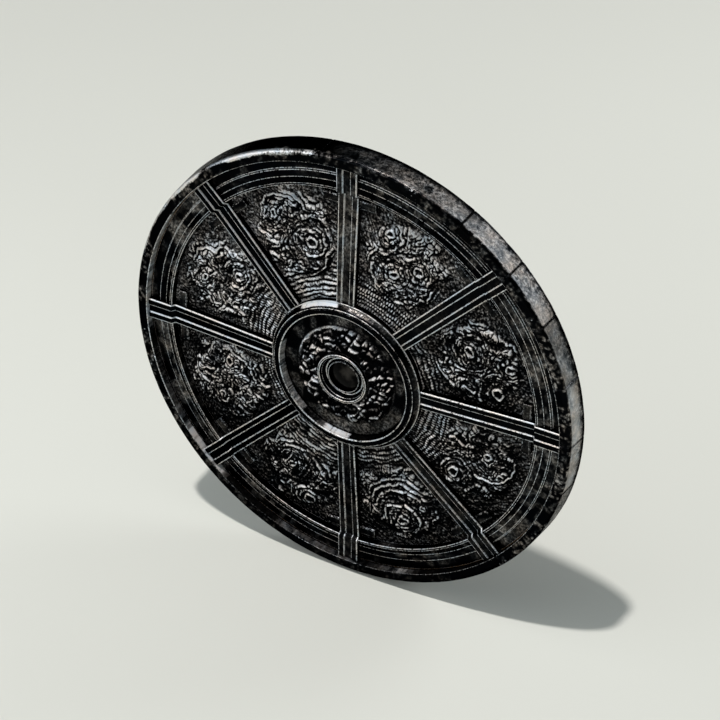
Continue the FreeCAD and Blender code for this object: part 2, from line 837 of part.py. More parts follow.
strap_left = strap_place - strap_width / 2
strap_right = strap_place + strap_width / 2
sleeve_radius = buckle_bar_radius + buckle_clear + buckle_wrap
root_depth = strap_depth + leather / 2
strap_run_depth = root_depth + sleeve_radius + buckle_clear
strap_over = strap_run_depth - strap_depth
far_bar_depth = strap_run_depth + leather + buckle_clear + buckle_bar_radius
root_bar = Vector(strap_place, buckle_place, behind(root_depth))
far_bar = Vector(strap_place, buckle_place - buckle_length, behind(far_bar_depth))
bar_to_bar = (far_bar - root_bar).Length
tongue_angle = degrees(atan2(far_bar_depth - root_depth, buckle_length)
                       + asin((buckle_bar_radius + tongue_radius + seat_gap) / bar_to_bar))
frame_half = strap_width / 2 + buckle_side_clear


def arm_strap():
    """The long strap: up from its lower tab, through the buckle and over the chape."""
    outer_end = strap_side + strap_tab
    path = [(-outer_end, 0), (-strap_side, 0), (-strap_side, strap_run_depth),
            (strap_side + strap_over, strap_run_depth),
            (strap_side + strap_over, strap_tail_depth)]
    bends = [strap_small_bend, strap_big_bend, strap_big_bend + strap_over]
    strip = strap_strip(path, bends, 1, strap_left, strap_right)
    slot_half = strap_slot_width / 2
    rest, raised = radians(tongue_angle), radians(tongue_angle + tongue_swing)
    far_end = (strap_run_depth + leather - root_depth) / tan(rest) + tongue_radius / sin(rest)
    near_end = (strap_run_depth - root_depth) / tan(raised) - tongue_radius / sin(raised)
    low = Vector(strap_place - slot_half, buckle_place - far_end - buckle_clear,
                 behind(strap_run_depth + leather + overrun))
    high = Vector(strap_place + slot_half, buckle_place - near_end + buckle_clear,
                  behind(strap_run_depth - leather))
    return drilled(strip.cut(box(low, high)), strap_rivet_places()[2:])


def buckle_chape():
    """The short strap from the upper tab, its end sewn round the buckle's bar."""
    outer_end = strap_side + strap_tab
    path = [(outer_end, 0), (strap_side, 0), (strap_side, strap_depth),
            (buckle_place + buckle_bar_radius, strap_depth)]
    bends = [strap_small_bend, strap_big_bend]
    strip = strap_strip(path, bends, -1, strap_left, strap_right)
    reach = ACROSS * (strap_width / 2)
    sleeve = rod(sleeve_radius, root_bar - reach, root_bar + reach)
    bore = rod(buckle_bar_radius + buckle_clear, root_bar - reach * 2, root_bar + reach * 2)
    slot_half = tongue_hub_width / 2 + buckle_clear
    room = sleeve_radius + buckle_clear * 2
    slot = box(root_bar - Vector(slot_half, room, room), root_bar + Vector(slot_half, room, room))
    chape = strip.fuse(sleeve).cut(bore).cut(slot)
    return drilled(chape.removeSplitter(), strap_rivet_places()[:2])


def drilled(strip, places):
    """A strap's tab with its rivet holes."""
    for across, up in places:
        strip = strip.cut(rod(rivet_shank_radius + rivet_fit, Vector(across, up, behind(-overrun)),
                              Vector(across, up, behind(leather + overrun))))
    return strip


def buckle_frame():
    """The rectangular frame of round bar, its root bar in the chape."""
    reach = ACROSS * frame_half
    corners = [root_bar - reach, root_bar + reach, far_bar + reach, far_bar - reach]
    frame = Part.makeSphere(buckle_bar_radius, corners[0])
    for index, corner in enumerate(corners):
        following = corners[(index + 1) % len(corners)]
        frame = frame.fuse(rod(buckle_bar_radius, corner, following))
        frame = frame.fuse(Part.makeSphere(buckle_bar_radius, following))
    return frame.removeSplitter()


def buckle_tongue():
    """The tongue: a small hub on the root bar and a pin that rests on the far bar."""
    half = ACROSS * (tongue_hub_width / 2)
    hub_radius = buckle_bar_radius + buckle_clear + tongue_hub_wall
    hub = rod(hub_radius, root_bar - half, root_bar + half)
    along = Vector(0, -cos(radians(tongue_angle)), -sin(radians(tongue_angle)))
    tip = root_bar + along * (bar_to_bar + tongue_tip)
    pin = rod(tongue_radius, root_bar + along * (buckle_bar_radius + buckle_clear), tip)
    tongue = hub.fuse(pin).fuse(Part.makeSphere(tongue_radius, tip))
    bore = rod(buckle_bar_radius + buckle_clear, root_bar - half * 2, root_bar + half * 2)
    return tongue.cut(bore).removeSplitter()


def strap_keeper():
    """The leather loop that holds the strap's tail down on the chape."""
    near = strap_side - seat_gap
    far = strap_side + strap_over + leather + seat_gap
    half = strap_width / 2 + seat_gap
    start, end = behind(keeper_depth + keeper_width), behind(keeper_depth)
    inside = box(Vector(strap_place - half, near, start - overrun),
                 Vector(strap_place + half, far, end + overrun))
    shell = box(Vector(strap_place - half - keeper_sheet, near - keeper_sheet, start),
                Vector(strap_place + half + keeper_sheet, far + keeper_sheet, end))
    return shell.cut(inside)


def rivet(across, up, under):
    """A domed rivet whose head stands on something this thick behind the board."""
    start = Vector(across, up, behind(under))
    end = Vector(across, up, board_front(Vector(across, up, 0).Length) - seat_gap)
    head = domed_head(rivet_head_radius, rivet_head_height, start, -AXIS)
    return rod(rivet_shank_radius, start, end).fuse(head).removeSplitter()


# Hand grip

def grip_brackets():
    """Two angle brackets that carry the grip's rod."""
    parts = []
    for side in (1, -1):
        inner = grip_length / 2 + bracket_clear
        outer = inner + bracket_sheet
        half = ACROSS * (bracket_width / 2)
        corner = Vector(grip_place, side * inner, behind(0))
        foot = box_between(corner - half, Vector(grip_place, side * (outer + bracket_foot),
                                                 behind(bracket_sheet)) + half)
        wall = box_between(corner - half, Vector(grip_place, side * outer,
                                                 behind(grip_stand)) + half)
        eye = rod(bracket_width / 2, Vector(grip_place, side * inner, behind(grip_stand)),
                  Vector(grip_place, side * outer, behind(grip_stand)))
        bore = rod(grip_rod_radius + grip_rod_fit,
                   Vector(grip_place, side * (inner - overrun), behind(grip_stand)),
                   Vector(grip_place, side * (outer + overrun), behind(grip_stand)))
        bracket = foot.fuse(wall).fuse(eye).cut(bore)
        for across, up in bracket_rivet_places():
            if up * side > 0:
                bracket = bracket.cut(rod(rivet_shank_radius + rivet_fit,
                                          Vector(across, up, behind(-overrun)),
                                          Vector(across, up, behind(bracket_sheet + overrun))))
        parts.append(bracket.removeSplitter())
    return Part.makeCompound(parts)


def box_between(one, other):
    """A block between two opposite corners, in any order."""
    low = Vector(min(one.x, other.x), min(one.y, other.y), min(one.z, other.z))
    high = Vector(max(one.x, other.x), max(one.y, other.y), max(one.z, other.z))
    return box(low, high)


def hand_grip():
    """The turned wooden grip, bored for its rod and fuller in the middle."""
    half = grip_length / 2
    bore = grip_rod_radius + grip_rod_fit
    ends = [Vector(bore, 0, -half), Vector(grip_end_radius, 0, -half),
            Vector(grip_end_radius, 0, half), Vector(bore, 0, half)]
    swell = Part.Arc(ends[1], Vector(grip_middle_radius, 0, 0), ends[2]).toShape()
    wire = Part.Wire([Part.LineSegment(ends[0], ends[1]).toShape(), swell,
                      Part.LineSegment(ends[2], ends[3]).toShape(),
                      Part.LineSegment(ends[3], ends[0]).toShape()])
    grip = Part.Face(wire).revolve(ORIGIN, AXIS, 360)
    grip.Placement = FreeCAD.Placement(Vector(grip_place, 0, behind(grip_stand)),
                                       FreeCAD.Rotation(AXIS, UPWARDS))
    return grip


def grip_rod():
    """The iron rod through the grip and the brackets, riveted over at both ends."""
    reach = grip_length / 2 + bracket_clear + bracket_sheet + seat_gap
    start = Vector(grip_place, -reach, behind(grip_stand))
    end = Vector(grip_place, reach, behind(grip_stand))
    heads = domed_head(grip_rod_head_radius, grip_rod_head_length, end, UPWARDS).fuse(
        domed_head(grip_rod_head_radius, grip_rod_head_length, start, -UPWARDS))
    return rod(grip_rod_radius, start, end).fuse(heads).removeSplitter()


# Carrying rings

def carry_surface():
    """Height of the board's back where a staple stands."""
    return board_back(carry_radius)


def staple_foot():
    """Height of the ends of the staples' legs, inside the board."""
    return carry_surface() + staple_leg_depth


def carry_axis(side):
    """The middle of the ring's wire in its staple."""
    return Vector(side * carry_place, carry_rise,
                  carry_surface() - carry_clear - carry_wire_radius)


def carry_ring(side):
    """A ring of round bar, hanging in its staple."""
    middle = carry_axis(side) - UPWARDS * carry_ring_radius
    return Part.makeTorus(carry_ring_radius, carry_wire_radius, middle, AXIS)


def ring_staples():
    """The two staples, each a wire arch with both legs in the board."""
    parts = []
    half = carry_wire_radius + carry_clear + staple_wire_radius
    for side in (1, -1):
        middle = carry_axis(side)
        foot = staple_foot()
        upper = middle + UPWARDS * half
        lower = middle - UPWARDS * half
        top = middle - AXIS * half
        wire = Part.Wire([Part.LineSegment(Vector(upper.x, upper.y, foot), upper).toShape(),
                          Part.Arc(upper, top, lower).toShape(),
                          Part.LineSegment(lower, Vector(lower.x, lower.y, foot)).toShape()])
        section = Part.Wire([Part.makeCircle(staple_wire_radius, Vector(upper.x, upper.y, foot),
                                             AXIS)])
        parts.append(wire.makePipeShell([section], True, False))
    return Part.makeCompound(parts)


def standing(shape):
    """Stand the shield up and bring the pad's rear face to the origin."""
    placed = shape.copy()
    placed.rotate(ORIGIN, ACROSS, 90)
    placed.translate(Vector(0, -pad_proud, 0))
    return placed


def build():
    """Every node's name and shape."""
    nodes = {}
    for index, (start, end) in enumerate(rim_spans()):
        nodes["rim_plate_%02d" % (index + 1)] = rim_plate(start, end)
    nodes["rim_pins"] = Part.makeCompound([rim_pin(angle) for start, end in rim_spans()
                                           for angle in rim_pin_angles(start, end)])
    sweep = 360 / hoop_count
    for index in range(hoop_count):
        start = hoop_joint_angle + index * sweep
        nodes["hoop_half_%d" % (index + 1)] = hoop_part(start, start + sweep)
    nodes["cornice_ring"] = cornice()
    first_panel, first_rib = panel(), rib()
    for index in range(rib_count):
        angle = index * rib_step_angle
        nodes["panel_%d" % (index + 1)] = turned(first_panel, angle)
        nodes["rib_%d" % (index + 1)] = turned(first_rib, angle)
    nodes["rib_cleats"] = rib_cleats()
    nodes["stud_roves"] = Part.makeCompound([rove(radius, angle)
                                             for radius, angle in stud_places()])
    nodes["hub_ring"] = hub_ring()
    nodes["boss_plate"] = boss_plate()
    nodes["eye_collar"] = eye_collar()
    nodes["eye_disc"] = eye_disc()
    nodes["eye_seat"] = eye_seat()
    for index, plank in enumerate(planks()):
        nodes["board_plank_%d" % (index + 1)] = plank
    nodes["arm_pad"] = arm_pad()
    nodes["pad_nails"] = pad_nails()
    nodes["arm_strap"] = arm_strap()
    nodes["buckle_chape"] = buckle_chape()
    nodes["buckle_frame"] = buckle_frame()
    nodes["buckle_tongue"] = buckle_tongue()
    nodes["strap_keeper"] = strap_keeper()
    rivets = [rivet(across, up, leather) for across, up in strap_rivet_places()]
    rivets += [rivet(across, up, bracket_sheet) for across, up in bracket_rivet_places()]
    nodes["back_rivets"] = Part.makeCompound(rivets)
    nodes["grip_brackets"] = grip_brackets()
    nodes["hand_grip"] = hand_grip()
    nodes["grip_rod"] = grip_rod()
    nodes["carry_ring_left"] = carry_ring(1)
    nodes["carry_ring_right"] = carry_ring(-1)
    nodes["ring_staples"] = ring_staples()
    return nodes


os.makedirs("parts", exist_ok=True)
for name, shape in build().items():
    standing(shape).exportStep("parts/%s.step" % name)
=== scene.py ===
from collections import namedtuple
from itertools import product
from math import ceil, cos, degrees, pi, radians, sin, tan

import bmesh
import bpy
import numpy as np
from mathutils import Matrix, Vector


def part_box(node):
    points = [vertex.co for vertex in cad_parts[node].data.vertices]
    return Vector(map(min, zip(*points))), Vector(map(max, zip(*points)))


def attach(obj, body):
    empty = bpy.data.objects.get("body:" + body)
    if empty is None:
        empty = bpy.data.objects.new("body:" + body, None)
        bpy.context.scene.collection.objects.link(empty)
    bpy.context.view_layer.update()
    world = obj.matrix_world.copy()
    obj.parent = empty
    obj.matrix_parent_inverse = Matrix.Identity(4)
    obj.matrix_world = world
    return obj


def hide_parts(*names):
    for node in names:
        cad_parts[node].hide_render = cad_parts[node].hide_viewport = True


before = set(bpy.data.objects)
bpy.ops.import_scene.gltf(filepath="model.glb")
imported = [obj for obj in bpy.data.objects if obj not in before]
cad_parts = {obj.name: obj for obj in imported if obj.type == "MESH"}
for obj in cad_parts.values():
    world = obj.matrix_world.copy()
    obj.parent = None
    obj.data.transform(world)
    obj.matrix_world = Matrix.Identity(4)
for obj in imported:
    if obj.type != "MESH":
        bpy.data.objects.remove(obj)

bl_info = {
    "name": "Round parade shield",
    "version": (1, 0, 0),
    "blender": (4, 5, 0),
    "location": "View3D > Sidebar > Shield",
    "description": "Dresses the packed frame of a round parade shield in iron, wood and leather",
    "category": "Add Mesh",
}

# The outlines below are drawn on the bench, in millimetres: a radius from the
# shield's axis, an angle from +X and a height in front of the rim's back plane.
MM = 0.001
PAD_PROUD = 3.0
FULL_TURN = 2 * pi

# What a level is worked out from: points in millimetres, their radius, angle in degrees
# and height, and the level that was there first.
Spots = namedtuple("Spots", "points radius angle height first")

# Rim
RIM_BACK = 300.0
RIM_DEPTH = 34.5
RIM_FRONT = 298.0
RIM_INNER = 283.0
RIM_FLANGE = 284.0
RIM_SHEET = 1.5
RIM_FOOT = 21.7
RIM_ROLL = 6.0
RIM_SEAMS = (0.0, 15.7, 31.0, 44.8, 59.9, 96.7, 147.2, 164.0, 193.8, 208.8, 245.9, 316.6,
             331.4, 346.5)
RIM_ENDS = (*RIM_SEAMS[1:], RIM_SEAMS[0] + 360)
RIM_FACET = 3.2
SEAM_GAP = 0.4

# Face
CORNICE_INNER = 250.2
CORNICE_OUTER = 282.8
CORNICE_SHEET = 1.5
GROUND_EDGE = 17.4
GROUND_SLOPE = tan(radians(3.5))
PANEL_INNER = 89.9
PANEL_OUTER = 258.2
PANEL_SHEET = 1.5
PANEL_PARTING = 4.0
MEDALLION_PLACE = 184.2
MEDALLION_LENGTH = 52.0
MEDALLION_WIDTH = 46.0
MEDALLION_RISE = 2.4
RIB_COUNT = 8
RIB_START = 101.7
RIB_HEIGHT = 8.5
RIB_CHANNEL = 5.0
RIB_CHANNEL_DEPTH = 1.4
RIB_RAMP = (246.8, 250.0)
RIB_SADDLE = 30.8
SEAT_GAP = 0.2

# Hub
HUB_FLANGE = 101.5
HUB_SEAT = 89.7
HUB_TOP = 42.6
HUB_STEP = 93.5
HUB_STEP_DEPTH = 1.2
HUB_WALL = 99.5
HUB_WALL_TOP = 95.0
HUB_BORE = 86.9
HUB_BORE_FOOT = 84.7
HUB_REED = 1.6
HUB_LEDGE = 81.7
BOSS_FLOOR = 31.9
BOSS_UNDER = 29.9
BOSS_HOLE = 27.0
COLLAR_RADIUS = 33.5
COLLAR_SEAT = 39.5
COLLAR_TOP = 44.7
COLLAR_LIP = 20.4
EYE_BACK = 33.3

# Back
BOARD_THICK = 9.0
BOARD_FLAT_RADIUS = 152.0
BOARD_UNDER = PANEL_SHEET + SEAT_GAP + BOARD_THICK
BOARD_BACK = GROUND_EDGE + (CORNICE_INNER - BOARD_FLAT_RADIUS) * GROUND_SLOPE - BOARD_UNDER
LEATHER = 3.2
STRAP_PLACE = 86.0
STRAP_WIDTH = 40.0
STRAP_TAB = 82.0
STRAP_LOOP = 50.0
STRAP_BENDS = (5.0 + LEATHER / 2, 30.0 + LEATHER / 2)
STRAP_STEP = 1.6
STITCH_INSET = 3.2
BUCKLE_BAR = (14.0, 78.6)
PAD_HALF = (88.0, 45.0)
HEM_DEPTH = 2.7
GRIP_PLACE = -105.0
GRIP_DEPTH = 45.0
GRIP_HALF = 52.0


def linear(code):
    """A colour written as sRGB hex, as linear red, green and blue."""
    values = [int(code[place:place + 2], 16) / 255 for place in (1, 3, 5)]
    return tuple(value / 12.92 if value <= 0.04045 else ((value + 0.055) / 1.055) ** 2.4
                 for value in values)


def length(label, text, default):
    """A length that a user may change."""
    return bpy.props.FloatProperty(name=label, description=text, default=default, min=0.0,
                                   unit="LENGTH", precision=5)


def colour(label, text, code):
    """A colour that a user may change."""
    return bpy.props.FloatVectorProperty(name=label, description=text, default=linear(code),
                                         subtype="COLOR", size=3, min=0.0, max=1.0)


class ShieldSizes(bpy.types.PropertyGroup):
    """Sizes of the finish."""

    edge_round: length("Edge rounding", "Radius of the iron's filed edges", 0.0013)
    ridge_height: length("Ridge height", "From a hollow to a chased crest", 0.0021)
    leaf_size: length("Leaf size", "Across one chased leaf or lobe", 0.0074)
    flute_pitch: length("Flute spacing", "From one flute beside the hub to the next", 0.0062)
    reed_pitch: length("Reed spacing", "Width of a reed on the hub's bore", 0.0012)
    panel_cell: length("Panel mesh", "Size of a face on the chased panels", 0.00078)
    stitch_pitch: length("Stitch spacing", "From one stitch to the next", 0.0055)
    pad_voxel: length("Pad mesh", "Voxel size of the pad before it is inflated", 0.0042)
    seed: bpy.props.IntProperty(name="Seed", description="Start of every random draw", default=7)


class ShieldColours(bpy.types.PropertyGroup):
    """Colours of the finish."""

    black: colour("Blackened iron", "Oil-blackened skin of the iron", "#08090b")
    ground: colour("Stippled ground", "Matt ground between the chased leaves", "#3c3b3b")
    bare: colour("Bare iron", "Iron rubbed bright on edges and crests", "#e6e7e8")
    dull: colour("Dull iron", "Iron whose black has gone grey", "#cac6c2")
    wood: colour("Board", "Oiled poplar", "#7a5a3c")
    ash: colour("Hoop", "Oiled ash", "#8f6f4b")
    grip: colour("Grip", "Waxed dark ash", "#5a3a24")
    leather: colour("Strap leather", "Tanned strap", "#4a2c1a")
    pad: colour("Pad leather", "Soft cover", "#5f3c28")
    thread: colour("Thread", "Waxed linen thread", "#b79a6c")
    brass: colour("Brass", "Dulled nail heads", "#b08a48")
    floor: colour("Floor", "Pale studio floor", "#dbded7")


def sizes():
    """The scene's sizes."""
    return bpy.context.scene.shield_sizes


def colours():
    """The scene's colours."""
    return bpy.context.scene.shield_colours


# Shapes

def ground(radius):
    """Height of the panels' ground at a radius."""
    return GROUND_EDGE + (CORNICE_INNER - radius) * GROUND_SLOPE


def board_back(radius):
    """Height of the board's back at a radius."""
    return min(BOARD_BACK, ground(radius) - BOARD_UNDER)


def in_frame(across, up, height):
    """Bench coordinates in millimetres, as points of the frame in metres."""
    return np.stack([across, -(height + PAD_PROUD), up], -1) * MM


def turned(radius, angle, height):
    """Points on the bench at a radius, an angle in radians and a height."""
    return in_frame(radius * np.cos(angle), radius * np.sin(angle), height)


def behind(across, up, depth):
    """A point this far behind the flat of the board's back, in metres."""
    return Vector(in_frame(np.float64(across), np.float64(up), np.float64(BOARD_BACK - depth)))


def hashed(cells, seed):
    """A steady random number between -1 and 1 for each whole-numbered cell."""
    mixed = np.full(cells.shape[:-1], seed * 374761393, np.uint64)
    for axis in range(cells.shape[-1]):
        mixed ^= cells[..., axis].astype(np.uint64) * np.uint64(0x9E3779B97F4A7C15 >> axis)
        mixed ^= mixed >> np.uint64(29)
        mixed *= np.uint64(0xBF58476D1CE4E5B9)
    mixed ^= mixed >> np.uint64(32)
    return (mixed & np.uint64(0xFFFFFF)) / float(0x7FFFFF) - 1.0


def noise(points, wavelength, seed):
    """Smooth noise between -1 and 1, one hill to a wavelength."""
    scaled = points / wavelength
    cell = np.floor(scaled).astype(np.int64)
    part = scaled - cell
    part = part * part * part * (part * (part * 6 - 15) + 10)
    total = 0.0
    for corner in product((0, 1), repeat=points.shape[-1]):
        share = np.prod(np.where(np.array(corner) == 1, part, 1 - part), -1)
        total = total + share * hashed(cell + np.array(corner), seed)
    return total


def strewn(points, size, seed):
    """Distances, in sizes, to the nearest and the next of points strewn one to a cell."""
    scaled = points / size
    cell = np.floor(scaled).astype(np.int64)
    away = []
    for step in product((-1, 0, 1), repeat=2):
        there = cell + np.array(step)
        spot = there + 0.5 + 0.45 * np.stack([hashed(there, seed), hashed(there, seed + 1)], -1)
        away.append(np.linalg.norm(scaled - spot, axis=-1))
    nearest = np.partition(np.array(away), 1, axis=0)
    return nearest[0], nearest[1]


def drift(points, wavelength, seed):
    """Two noises for each point, as a shift across and along."""
    return np.stack([noise(points, wavelength, seed + step) for step in (1, 2)], -1)


def billows(points, size, seed):
    """Soft lumps from 0 to 1 with sharp creases between them."""
    return smooth(0.0, 0.55, np.abs(noise(points, size, seed)))


def softened(field, times):
    """A grid of levels, each blended with its neighbours a number of times."""
    for _ in range(times):
        wide = np.pad(field, 1, "edge")
        beside = wide[:-2, 1:-1] + wide[2:, 1:-1] + wide[1:-1, :-2] + wide[1:-1, 2:]
        field = beside / 6 + field / 3
    return field


def smooth(low, high, value):
    """0 below low, 1 above high, and a smooth climb between."""
    share = np.clip((value - low) / (high - low), 0, 1)
    return share * share * (3 - 2 * share)


def unit(rows):
    """Directions brought to a length of 1."""
    return rows / np.linalg.norm(rows, axis=-1, keepdims=True)


def left_of(run):
    """Directions in a plane, turned a quarter to the left."""
    return np.stack([-run[:, 1], run[:, 0]], -1)


def half_angle(before, after):
    """Half of the angle between two directions of length 1."""
    return np.arccos(np.clip(before @ after, -1, 1)) / 2


def arc(corner, before, after, radius, steps):
    """Points round a corner, on a radius that touches the lines to both its neighbours."""
    half = half_angle(before, after)
    middle = corner + unit(before + after) * radius / sin(half)
    first = corner + before * radius / tan(half) - middle
    last = corner + after * radius / tan(half) - middle
    sweep = pi - 2 * half
    share = np.linspace(0, 1, steps + 1)[:, None]
    blend = first * np.sin((1 - share) * sweep) + last * np.sin(share * sweep)
    return middle + blend / sin(sweep)


def rounded(corners, radius, steps=3, support=0.5):
    """An outline with its corners rounded, and 1 at the rounded stretches for the wear.

    The radius is one for all or one for each corner. Support points beside a rounding keep
    the flats flat when the surface is shaded smooth.
    """
    corners = np.array(corners, float)
    radii = np.broadcast_to(radius, len(corners))
    points, wear = [], []
    for index, corner in enumerate(corners):
        if radii[index] <= 0:
            points.append(corner)
            wear.append(0.0)
            continue
        before = corners[index - 1] - corner
        after = corners[(index + 1) % len(corners)] - corner
        long_before, long_after = np.linalg.norm(before), np.linalg.norm(after)
        before, after = before / long_before, after / long_after
        slope = tan(half_angle(before, after))
        reach = min(radii[index] / slope, 0.45 * long_before, 0.45 * long_after)
        points += [corner + before * min(reach + support, 0.49 * long_before),
                   *arc(corner, before, after, reach * slope, steps),
                   corner + after * min(reach + support, 0.49 * long_after)]
        wear += [0.0, 0.8, *[1.0] * (steps - 1), 0.8, 0.0]
    return np.array(points), np.array(wear)


def divided(points, wear, cell):
    """A closed outline with its long runs divided into runs no longer than a cell."""
    made, marks = [], []
    for index in range(len(points)):
        following = (index + 1) % len(points)
        run = points[following] - points[index]
        count = max(1, ceil(np.linalg.norm(run) / cell))
        for step in range(count):
            made.append(points[index] + run * step / count)
            marks.append(wear[index] + (wear[following] - wear[index]) * step / count)
    return np.array(made), np.array(marks)


def quads(rows, columns, wrap_rows, wrap_columns):
    """Corner numbers of the faces between a grid's points."""
    numbers = np.arange(rows * columns).reshape(rows, columns)
    if wrap_rows:
        numbers = np.vstack([numbers, numbers[:1]])
    if wrap_columns:
        numbers = np.hstack([numbers, numbers[:, :1]])
    return np.stack([numbers[:-1, :-1], numbers[1:, :-1], numbers[1:, 1:], numbers[:-1, 1:]],
                    -1).reshape(-1, 4)


def tube(rows, columns, whole=False):
    """Faces of a grid whose rows are rings, shut at both ends unless it goes all the way round."""
    faces = quads(rows, columns, whole, True).tolist()
    if not whole:
        last = columns * (rows - 1)
        faces += [list(range(columns)), list(range(last, last + columns))[::-1]]
    return faces


def stood(name, data):
    """A new object that stands in the scene."""
    made = bpy.data.objects.new(name, data)
    bpy.context.scene.collection.objects.link(made)
    return made


def marked(mesh, label, levels):
    """Write a level at every point of a mesh."""
    layer = mesh.attributes.get(label) or mesh.attributes.new(label, "FLOAT", "POINT")
    layer.data.foreach_set("value", np.asarray(levels, np.float32).ravel())


def dressed(mesh, material, sharp):
    """Turn a mesh's faces outwards, shade it smooth up to an angle and give it its material."""
    mesh.calc_loop_triangles()
    corners = np.zeros(len(mesh.loop_triangles) * 3, np.int32)
    mesh.loop_triangles.foreach_get("vertices", corners)
    places = positions(mesh)[corners].reshape(-1, 3, 3)
    volume = np.einsum("ij,ij->i", places[:, 0], np.cross(places[:, 1], places[:, 2])).sum()
    if volume < 0:
        mesh.flip_normals()
    mesh.shade_smooth()
    mesh.set_sharp_from_angle(angle=radians(sharp))
    mesh.materials.clear()
    mesh.materials.append(material)


def piece(name, points, faces, material, marks=None, sharp=40):
    """A mesh object in the frame, with its levels at its points."""
    mesh = bpy.data.meshes.new(name)
    mesh.from_pydata(np.asarray(points).reshape(-1, 3).tolist(), [], faces)
    mesh.validate()
    for label, levels in (marks or {}).items():
        marked(mesh, label, levels)
    dressed(mesh, material, sharp)
    return stood(name, mesh)


def positions(mesh):
    """A mesh's points as an array."""
    places = np.zeros(len(mesh.vertices) * 3)
    mesh.vertices.foreach_get("co", places)
    return places.reshape(-1, 3)


def pressed(made, depth_at):
    """Push a piece's surface inwards by a depth, in millimetres, worked out at its points."""
    mesh = made.data
    normals = np.zeros(len(mesh.vertices) * 3)
    mesh.vertex_normals.foreach_get("vector", normals)
    places = positions(mesh)
    depth = depth_at(places / MM)[:, None] * MM
    mesh.vertices.foreach_set("co", (places - normals.reshape(-1, 3) * depth).ravel())
    mesh.update()


def settle(made):
    """Apply a piece's modifiers."""
    graph = bpy.context.evaluated_depsgraph_get()
    mesh = bpy.data.meshes.new_from_object(made.evaluated_get(graph))
    made.modifiers.clear()
    made.data = mesh


def fitted(made, slot, *nodes, body="root"):
    """Hang a finished piece on its body and hide the nodes that it stands for. The slot is not
    used.
    """
    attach(made, body)
    if nodes:
        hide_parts(*nodes)


def lathe(name, outline, wear, material, step, start=0.0, end=360.0, end_round=0.0,
          jitter=None):
    """Turn a closed outline about the axis, all the way round or as one bent length."""
    reach = outline[:, 0].max()
    whole = end - start >= 360
    count = max(12, round(radians(end - start) * reach / step))
    if whole:
        angles = radians(start) + FULL_TURN * np.arange(count) / count
        insets = np.zeros(count)
    else:
        lead = end_round / reach
        angles = np.linspace(radians(start) + lead, radians(end) - lead, count)
        angles = np.concatenate([[radians(start)], angles, [radians(end)]])
        insets = np.zeros(count + 2)
        insets[[0, -1]] = end_round
    inward = inward_normals(outline)
    grid = outline[None] + inward[None] * insets[:, None, None]
    if jitter:
        grid = grid + jitter(angles, grid)
    points = turned(grid[..., 0], angles[:, None], grid[..., 1])
    marks = np.tile(wear, (len(angles), 1))
    if not whole:
        marks[[0, -1]] = 0.6
        marks[[1, -2]] = np.maximum(marks[[1, -2]], 0.2)
    faces = tube(len(angles), len(outline), whole)
    return piece(name, points, faces, material, {"wear": marks})


def rubbed(made, level_at, label="wear"):
    """Mark a piece's points with a level that is worked out from their spots."""
    places = positions(made.data) / MM
    first = np.zeros(len(places), np.float32)
    layer = made.data.attributes.get(label)
    if layer:
        layer.data.foreach_get("value", first)
    angle = np.degrees(np.arctan2(places[:, 2], places[:, 0])) % 360
    height = -places[:, 1] - PAD_PROUD
    at = Spots(places, np.hypot(places[:, 0], places[:, 2]), angle, height, first)
    marked(made.data, label, level_at(at))


def around(angle, *stops):
    """A level between stops of (angle in degrees, level), all the way round."""
    places, levels = zip(*stops)
    return np.interp(angle, places, levels, period=360)


def facets(angle, radius, width):
    """Number of the facet round a wall, as a cell for a steady random draw."""
    return np.floor(np.radians(angle) * radius / width).astype(np.int64)[..., None]


def inward_normals(outline):
    """Unit directions that point into a closed outline at each of its points."""
    following = np.roll(outline, -1, 0)
    run = unit(unit(outline - np.roll(outline, 1, 0)) + unit(following - outline))
    area = (outline[:, 0] * following[:, 1] - following[:, 0] * outline[:, 1]).sum()
    return left_of(run) * (1 if area > 0 else -1)


def worked_copy(name, node, material, edge, worn=1.0):
    """A node's own solid, merged, with its sharp edges filed round and marked as worn."""
    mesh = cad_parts[node].data.copy()
    mesh.name = name
    shape = bmesh.new()
    shape.from_mesh(mesh)
    bmesh.ops.remove_doubles(shape, verts=shape.verts, dist=0.02 * MM)
    bmesh.ops.dissolve_limit(shape, angle_limit=radians(1), verts=shape.verts, edges=shape.edges)
    sharp = [side for side in shape.edges
             if len(side.link_faces) == 2 and side.calc_face_angle(0) > radians(35)]
    layer = shape.verts.layers.float.new("wear")
    if edge > 0 and sharp:
        made = bmesh.ops.bevel(shape, geom=sharp, offset=edge * MM, segments=2, profile=0.5,
                               affect="EDGES", clamp_overlap=True)
        for point in made["verts"]:
            point[layer] = worn
        rounding = set(made["faces"])
        flats = [face for face in shape.faces
                 if face not in rounding and face.calc_area() > 12 * MM * MM
                 and min(side.calc_length() for side in face.edges) > 1.2 * MM]
        bmesh.ops.inset_individual(shape, faces=flats, thickness=0.4 * MM, use_even_offset=True)
        for face in flats:
            for point in face.verts:
                point[layer] = 0.0
    shape.to_mesh(mesh)
    shape.free()
    dressed(mesh, material, 50)
    return stood(name, mesh)


def forged(node, iron, edge, body="root"):
    """An iron node's own solid, its edges rounded by this much, as its finished piece."""
    fitted(worked_copy(node + "_forged", node, iron, edge), "fittings_iron", node, body=body)


# Materials

